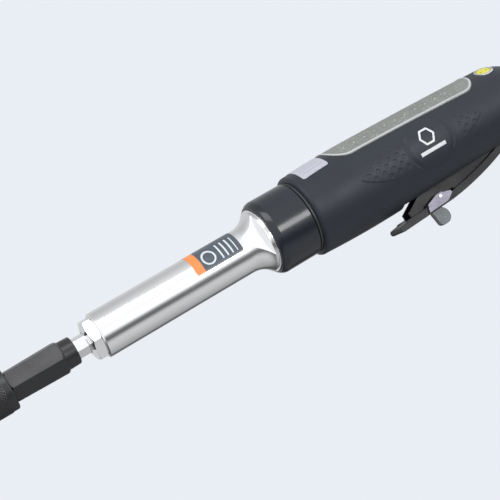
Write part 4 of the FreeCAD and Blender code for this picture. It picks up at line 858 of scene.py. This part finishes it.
@dataclass
class InsertTrim:
    """Pale bead round the grip's top insert, and its rows of nubs."""

    paint: Paintshop
    inset: float = 0.75 * MM
    corner_r: float = 10.2 * MM
    bead_r: float = 0.78 * MM
    bead_sunk: float = 0.42 * MM
    nub_r: float = 0.55 * MM
    nub_height: float = 0.3 * MM
    nub_pitch: float = 7.0 * MM
    nub_rows: tuple[float, ...] = (-13.2 * MM, 0.0, 13.2 * MM)
    step: float = 1.0 * MM

    def outline(self) -> list[Vector]:
        """The bead's loop in plan, at zero height."""
        low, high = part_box("top_insert")
        x0, x1 = low.x + self.inset, high.x - self.inset
        y0, y1 = low.y + self.inset, high.y - self.inset
        r = self.corner_r
        corners = [(x1 - r, y0 + r, -90), (x1 - r, y1 - r, 0), (x0 + r, y1 - r, 90), (x0 + r, y0 + r, 180)]
        loop: list[Vector] = []
        for cx, cy, start in corners:
            loop += [Vector((cx + r * math.cos(math.radians(start + a)),
                             cy + r * math.sin(math.radians(start + a)), 0))
                     for a in range(0, 91, 5)]
        full: list[Vector] = []
        for k, point in enumerate(loop):
            after = loop[(k + 1) % len(loop)]
            parts = max(1, round((after - point).length / self.step))
            full += [point.lerp(after, n / parts) for n in range(parts)]
        return full

    def build(self) -> None:
        """Builds the bead and the nubs."""
        skin = Skin("top_insert")
        path, lift = [], []
        for point in self.outline():
            z = skin.height(point.x, point.y)
            out = Vector((0, point.y, z)).normalized()
            path.append(Vector((point.x, point.y, z)) - out * self.bead_sunk)
            lift.append(out)
        bead = Draft()
        bead.tube(path, lift, self.bead_r, 10)
        self.paint.dress(bead.piece("insert_bead", "handle", "grey_insert"), "insert_rim")
        low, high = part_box("top_insert")
        nubs = Draft()
        for y in self.nub_rows:
            count = int((high.x - low.x - 16 * MM) / self.nub_pitch)
            for n in range(count):
                x = low.x + 10 * MM + n * self.nub_pitch
                self.add_nub(nubs, skin, x, y)
        self.paint.dress(nubs.piece("insert_nubs", "handle", "grey_insert"), "insert_rim")

    def add_nub(self, draft: Draft, skin: Skin, x: float, y: float) -> None:
        """Adds one small dome with a closed base.

        Args:
            draft: the mesh to add it to.
            skin: the insert's surface.
            x: place along the tool.
            y: place across it.
        """
        z = skin.height(x, y)
        out = Vector((0, y, z)).normalized()
        side = Vector((1, 0, 0))
        across = out.cross(side)
        root = Vector((x, y, z)) - out * 0.15 * MM
        start, sides, rings = len(draft.points), 12, 3
        for k in range(rings):
            tilt = math.pi / 2 * k / rings
            for s in range(sides):
                turn = 2 * math.pi * s / sides
                flat = (side * math.cos(turn) + across * math.sin(turn)) * self.nub_r * math.cos(tilt)
                draft.points.append(root + flat + out * (self.nub_height + 0.15 * MM) * math.sin(tilt))
        draft.points.append(root + out * (self.nub_height + 0.15 * MM))
        for k in range(rings - 1):
            for s in range(sides):
                t = (s + 1) % sides
                a, b = start + k * sides, start + (k + 1) * sides
                draft.faces.append((a + s, a + t, b + t, b + s))
        last, tip = start + (rings - 1) * sides, start + rings * sides
        draft.faces += [(last + s, last + (s + 1) % sides, tip) for s in range(sides)]
        draft.faces.append(tuple(start + s for s in reversed(range(sides))))


@dataclass
class SleeveKnurl:
    """Diamond knurl band on the chuck's pull-back sleeve."""

    paint: Paintshop
    band_from: float = 3.2 * MM
    band_length: float = 13.0 * MM
    teeth: int = 44
    depth: float = 0.32 * MM
    lift: float = 0.3 * MM
    around_cells: int = 352
    along_cells: int = 60
    ridge_steepness: float = 2.6
    end_sunk: float = 0.1 * MM
    root: float = 0.4 * MM

    def build(self) -> None:
        """Builds the band as one closed ring."""
        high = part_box("chuck_sleeve")[1]
        radius = high.z
        x0 = high.x - self.band_from - self.band_length
        draft = Draft()
        rows: list[list[int]] = []

        def ring(x: float, level: Callable[[float], float]) -> None:
            """Adds one ring of points."""
            rows.append([len(draft.points) + k for k in range(self.around_cells)])
            for k in range(self.around_cells):
                angle = 360.0 * k / self.around_cells
                draft.points.append(around(x, angle, radius + level(angle)))

        for i in range(self.along_cells + 1):
            share = i / self.along_cells
            x = x0 + share * self.band_length
            fade = smooth(min(share, 1 - share) * 12)
            run = (x - x0) / (2 * math.pi * radius) * 360.0

            def level(angle: float, run: float = run, fade: float = fade) -> float:
                """The knurl's height: two crossed sets of ridges."""
                one = abs(((angle + run) * self.teeth / 360.0) % 1 - 0.5) * 2
                two = abs(((angle - run) * self.teeth / 360.0) % 1 - 0.5) * 2
                cut = self.depth * max(0.0, 1 - self.ridge_steepness * min(one, two))
                return fade * (self.lift - cut) - (1 - fade) * self.end_sunk

            ring(x, level)
        ring(x0 + self.band_length, lambda angle: -self.root)
        ring(x0, lambda angle: -self.root)
        for r in range(len(rows)):
            here, after = rows[r], rows[(r + 1) % len(rows)]
            for k in range(self.around_cells):
                n = (k + 1) % self.around_cells
                draft.faces.append((here[k], here[n], after[n], after[k]))
        self.paint.dress(draft.piece("sleeve_knurl", "sleeve", "black_oxide"), "black_oxide")


# ------------------------------------------------------------------ studio
@dataclass
class Studio:
    """Camera, soft light and the pale floor."""

    azimuth: float = -18.5
    roll: float = 30.3
    distance: float = 571.5 * MM
    aim: Vector = field(default_factory=lambda: Vector((MID_TOOL_X, 0.0, -1.18 * MM)))
    lens: float = 78.48
    floor_z: float = -0.26
    floor_flat: float = 2.4
    floor_bend: float = 1.6
    floor_colour: Colour = (0.815, 0.848, 0.900)
    sky: tuple[tuple[float, float], ...] = (
        (0.0, 0.60), (0.067, 0.70), (0.123, 0.56), (0.153, 0.33), (0.192, 0.17), (0.228, 0.155),
        (0.265, 0.19),
        (0.305, 0.32), (0.345, 0.69), (0.388, 1.08), (0.43, 1.15), (0.77, 1.15), (0.847, 1.14), (0.91, 1.0),
        (0.976, 0.79), (1.0, 0.66))
    far_side_level: float = 0.6
    floor_lit_share: float = 0.02
    floor_glow: float = 0.99
    panel_distance: float = 1.3

    def build_camera(self) -> None:
        """The camera, rolled so that the tool climbs to the right."""
        turn, roll = math.radians(self.azimuth), math.radians(self.roll)
        back = Vector((math.sin(turn), -math.cos(turn), 0.0))
        level = Vector((math.cos(turn), math.sin(turn), 0.0))
        upright = Vector((0.0, 0.0, 1.0))
        right = level * math.cos(roll) - upright * math.sin(roll)
        up = level * math.sin(roll) + upright * math.cos(roll)
        camera = bpy.data.objects.new("camera", bpy.data.cameras.new("camera"))
        bpy.context.scene.collection.objects.link(camera)
        camera.data.lens = self.lens
        camera.data.clip_start = 0.01
        place = self.aim + back * self.distance
        camera.matrix_world = Matrix.Translation(place) @ Matrix((right, up, back)).transposed().to_4x4()
        bpy.context.scene.camera = camera

    def build_floor(self) -> None:
        """A pale floor that curves up into a wall all round."""
        draft = Draft()
        profile = [(0.02, 0.0), (self.floor_flat * 0.5, 0.0)]
        profile += [(self.floor_flat + self.floor_bend * math.sin(math.radians(a)),
                     self.floor_bend * (1 - math.cos(math.radians(a)))) for a in range(0, 91, 6)]
        profile.append((self.floor_flat + self.floor_bend, self.floor_bend + 1.5))
        sides = 96
        for reach, rise in profile:
            for k in range(sides):
                turn = 2 * math.pi * k / sides
                draft.points.append(Vector((MID_TOOL_X + reach * math.cos(turn), reach * math.sin(turn),
                                            self.floor_z + rise)))
        for r in range(len(profile) - 1):
            for k in range(sides):
                n = (k + 1) % sides
                draft.faces.append((r * sides + k, r * sides + n, (r + 1) * sides + n, (r + 1) * sides + k))
        draft.faces.append(tuple(range(sides)))
        mesh = bpy.data.meshes.new("floor")
        mesh.from_pydata([tuple(p) for p in draft.points], [], draft.faces)
        floor = bpy.data.objects.new("floor", mesh)
        bpy.context.scene.collection.objects.link(floor)
        mesh.polygons.foreach_set("use_smooth", [True] * len(mesh.polygons))
        for ray in ("visible_diffuse", "visible_glossy", "visible_transmission", "visible_shadow"):
            setattr(floor, ray, False)
        material = bpy.data.materials.new("pale_floor")
        material.use_nodes = True
        w = Wiring(material.node_tree)
        surface = w.node("ShaderNodeOutputMaterial")
        shader = w.node("ShaderNodeBsdfPrincipled")
        w.tree.links.new(shader.outputs[0], surface.inputs[0])
        w.feed(shader.inputs["Base Color"], tuple(c * self.floor_lit_share for c in self.floor_colour))
        shader.inputs["Roughness"].default_value = 1.0
        shader.inputs["Specular IOR Level"].default_value = 0.0
        w.feed(shader.inputs["Emission Color"], self.floor_colour)
        shader.inputs["Emission Strength"].default_value = self.floor_glow
        mesh.materials.append(material)

    def build_sky(self) -> None:
        """Soft studio light from all round, banded by height."""
        world = bpy.data.worlds.new("studio")
        bpy.context.scene.world = world
        world.use_nodes = True
        w = Wiring(world.node_tree)
        out = w.node("ShaderNodeOutputWorld")
        light = w.node("ShaderNodeBackground")
        w.tree.links.new(light.outputs[0], out.inputs[0])
        parts = w.node("ShaderNodeSeparateXYZ")
        w.feed(parts.inputs[0], w.node("ShaderNodeTexCoord").outputs["Generated"])
        ramp = w.node("ShaderNodeValToRGB")
        w.feed(ramp.inputs[0], w.spread(parts.outputs[2], -1.0, 1.0))
        stops = ramp.color_ramp.elements
        while len(stops) < len(self.sky):
            stops.new(0.5)
        for stop, (height, level) in zip(stops, self.sky):
            stop.position = height
            stop.color = (level * 0.97, level * 0.985, level, 1.0)
        w.feed(light.inputs["Color"], ramp.outputs[0])
        w.feed(light.inputs["Strength"], w.spread(parts.outputs[1], -0.1, 0.5, 1.0, self.far_side_level))

    def add_panel(self, name: str, azimuth: float, elevation: float, size: tuple[float, float],
                  power: float) -> None:
        """Adds a soft light panel that faces the tool.

        Args:
            name: the light's name.
            azimuth: its bearing in degrees, as the camera's.
            elevation: its height in degrees.
            size: its width and height in metres.
            power: its power in watts.
        """
        turn, rise = math.radians(azimuth), math.radians(elevation)
        back = Vector((math.sin(turn) * math.cos(rise), -math.cos(turn) * math.cos(rise), math.sin(rise)))
        panel = bpy.data.lights.new(name, "AREA")
        panel.shape = "RECTANGLE"
        panel.size, panel.size_y = size
        panel.energy = power
        light = bpy.data.objects.new(name, panel)
        bpy.context.scene.collection.objects.link(light)
        light.location = self.aim + back * self.panel_distance
        light.rotation_mode = "QUATERNION"
        light.rotation_quaternion = back.to_track_quat("Z", "Y")
        light.visible_camera = False

    def build(self) -> None:
        """Builds the camera, the floor and the light."""
        bpy.context.scene.view_settings.view_transform = "Standard"
        self.build_camera()
        self.build_floor()
        self.build_sky()
        self.add_panel("key_panel", -30.0, 52.0, (1.4, 0.7), 9.0)
        self.add_panel("side_panel", 24.0, 2.0, (0.5, 0.34), 5.0)


def main() -> None:
    """Builds the studio, dresses the CAD nodes and adds the detail pieces."""
    logging.basicConfig(level=logging.INFO)
    Studio().build()
    paint = Paintshop()
    paint.dress_nodes()
    GripRelief(paint).build()
    InsertTrim(paint).build()
    SleeveKnurl(paint).build()


if __name__ == "__main__":
    main()
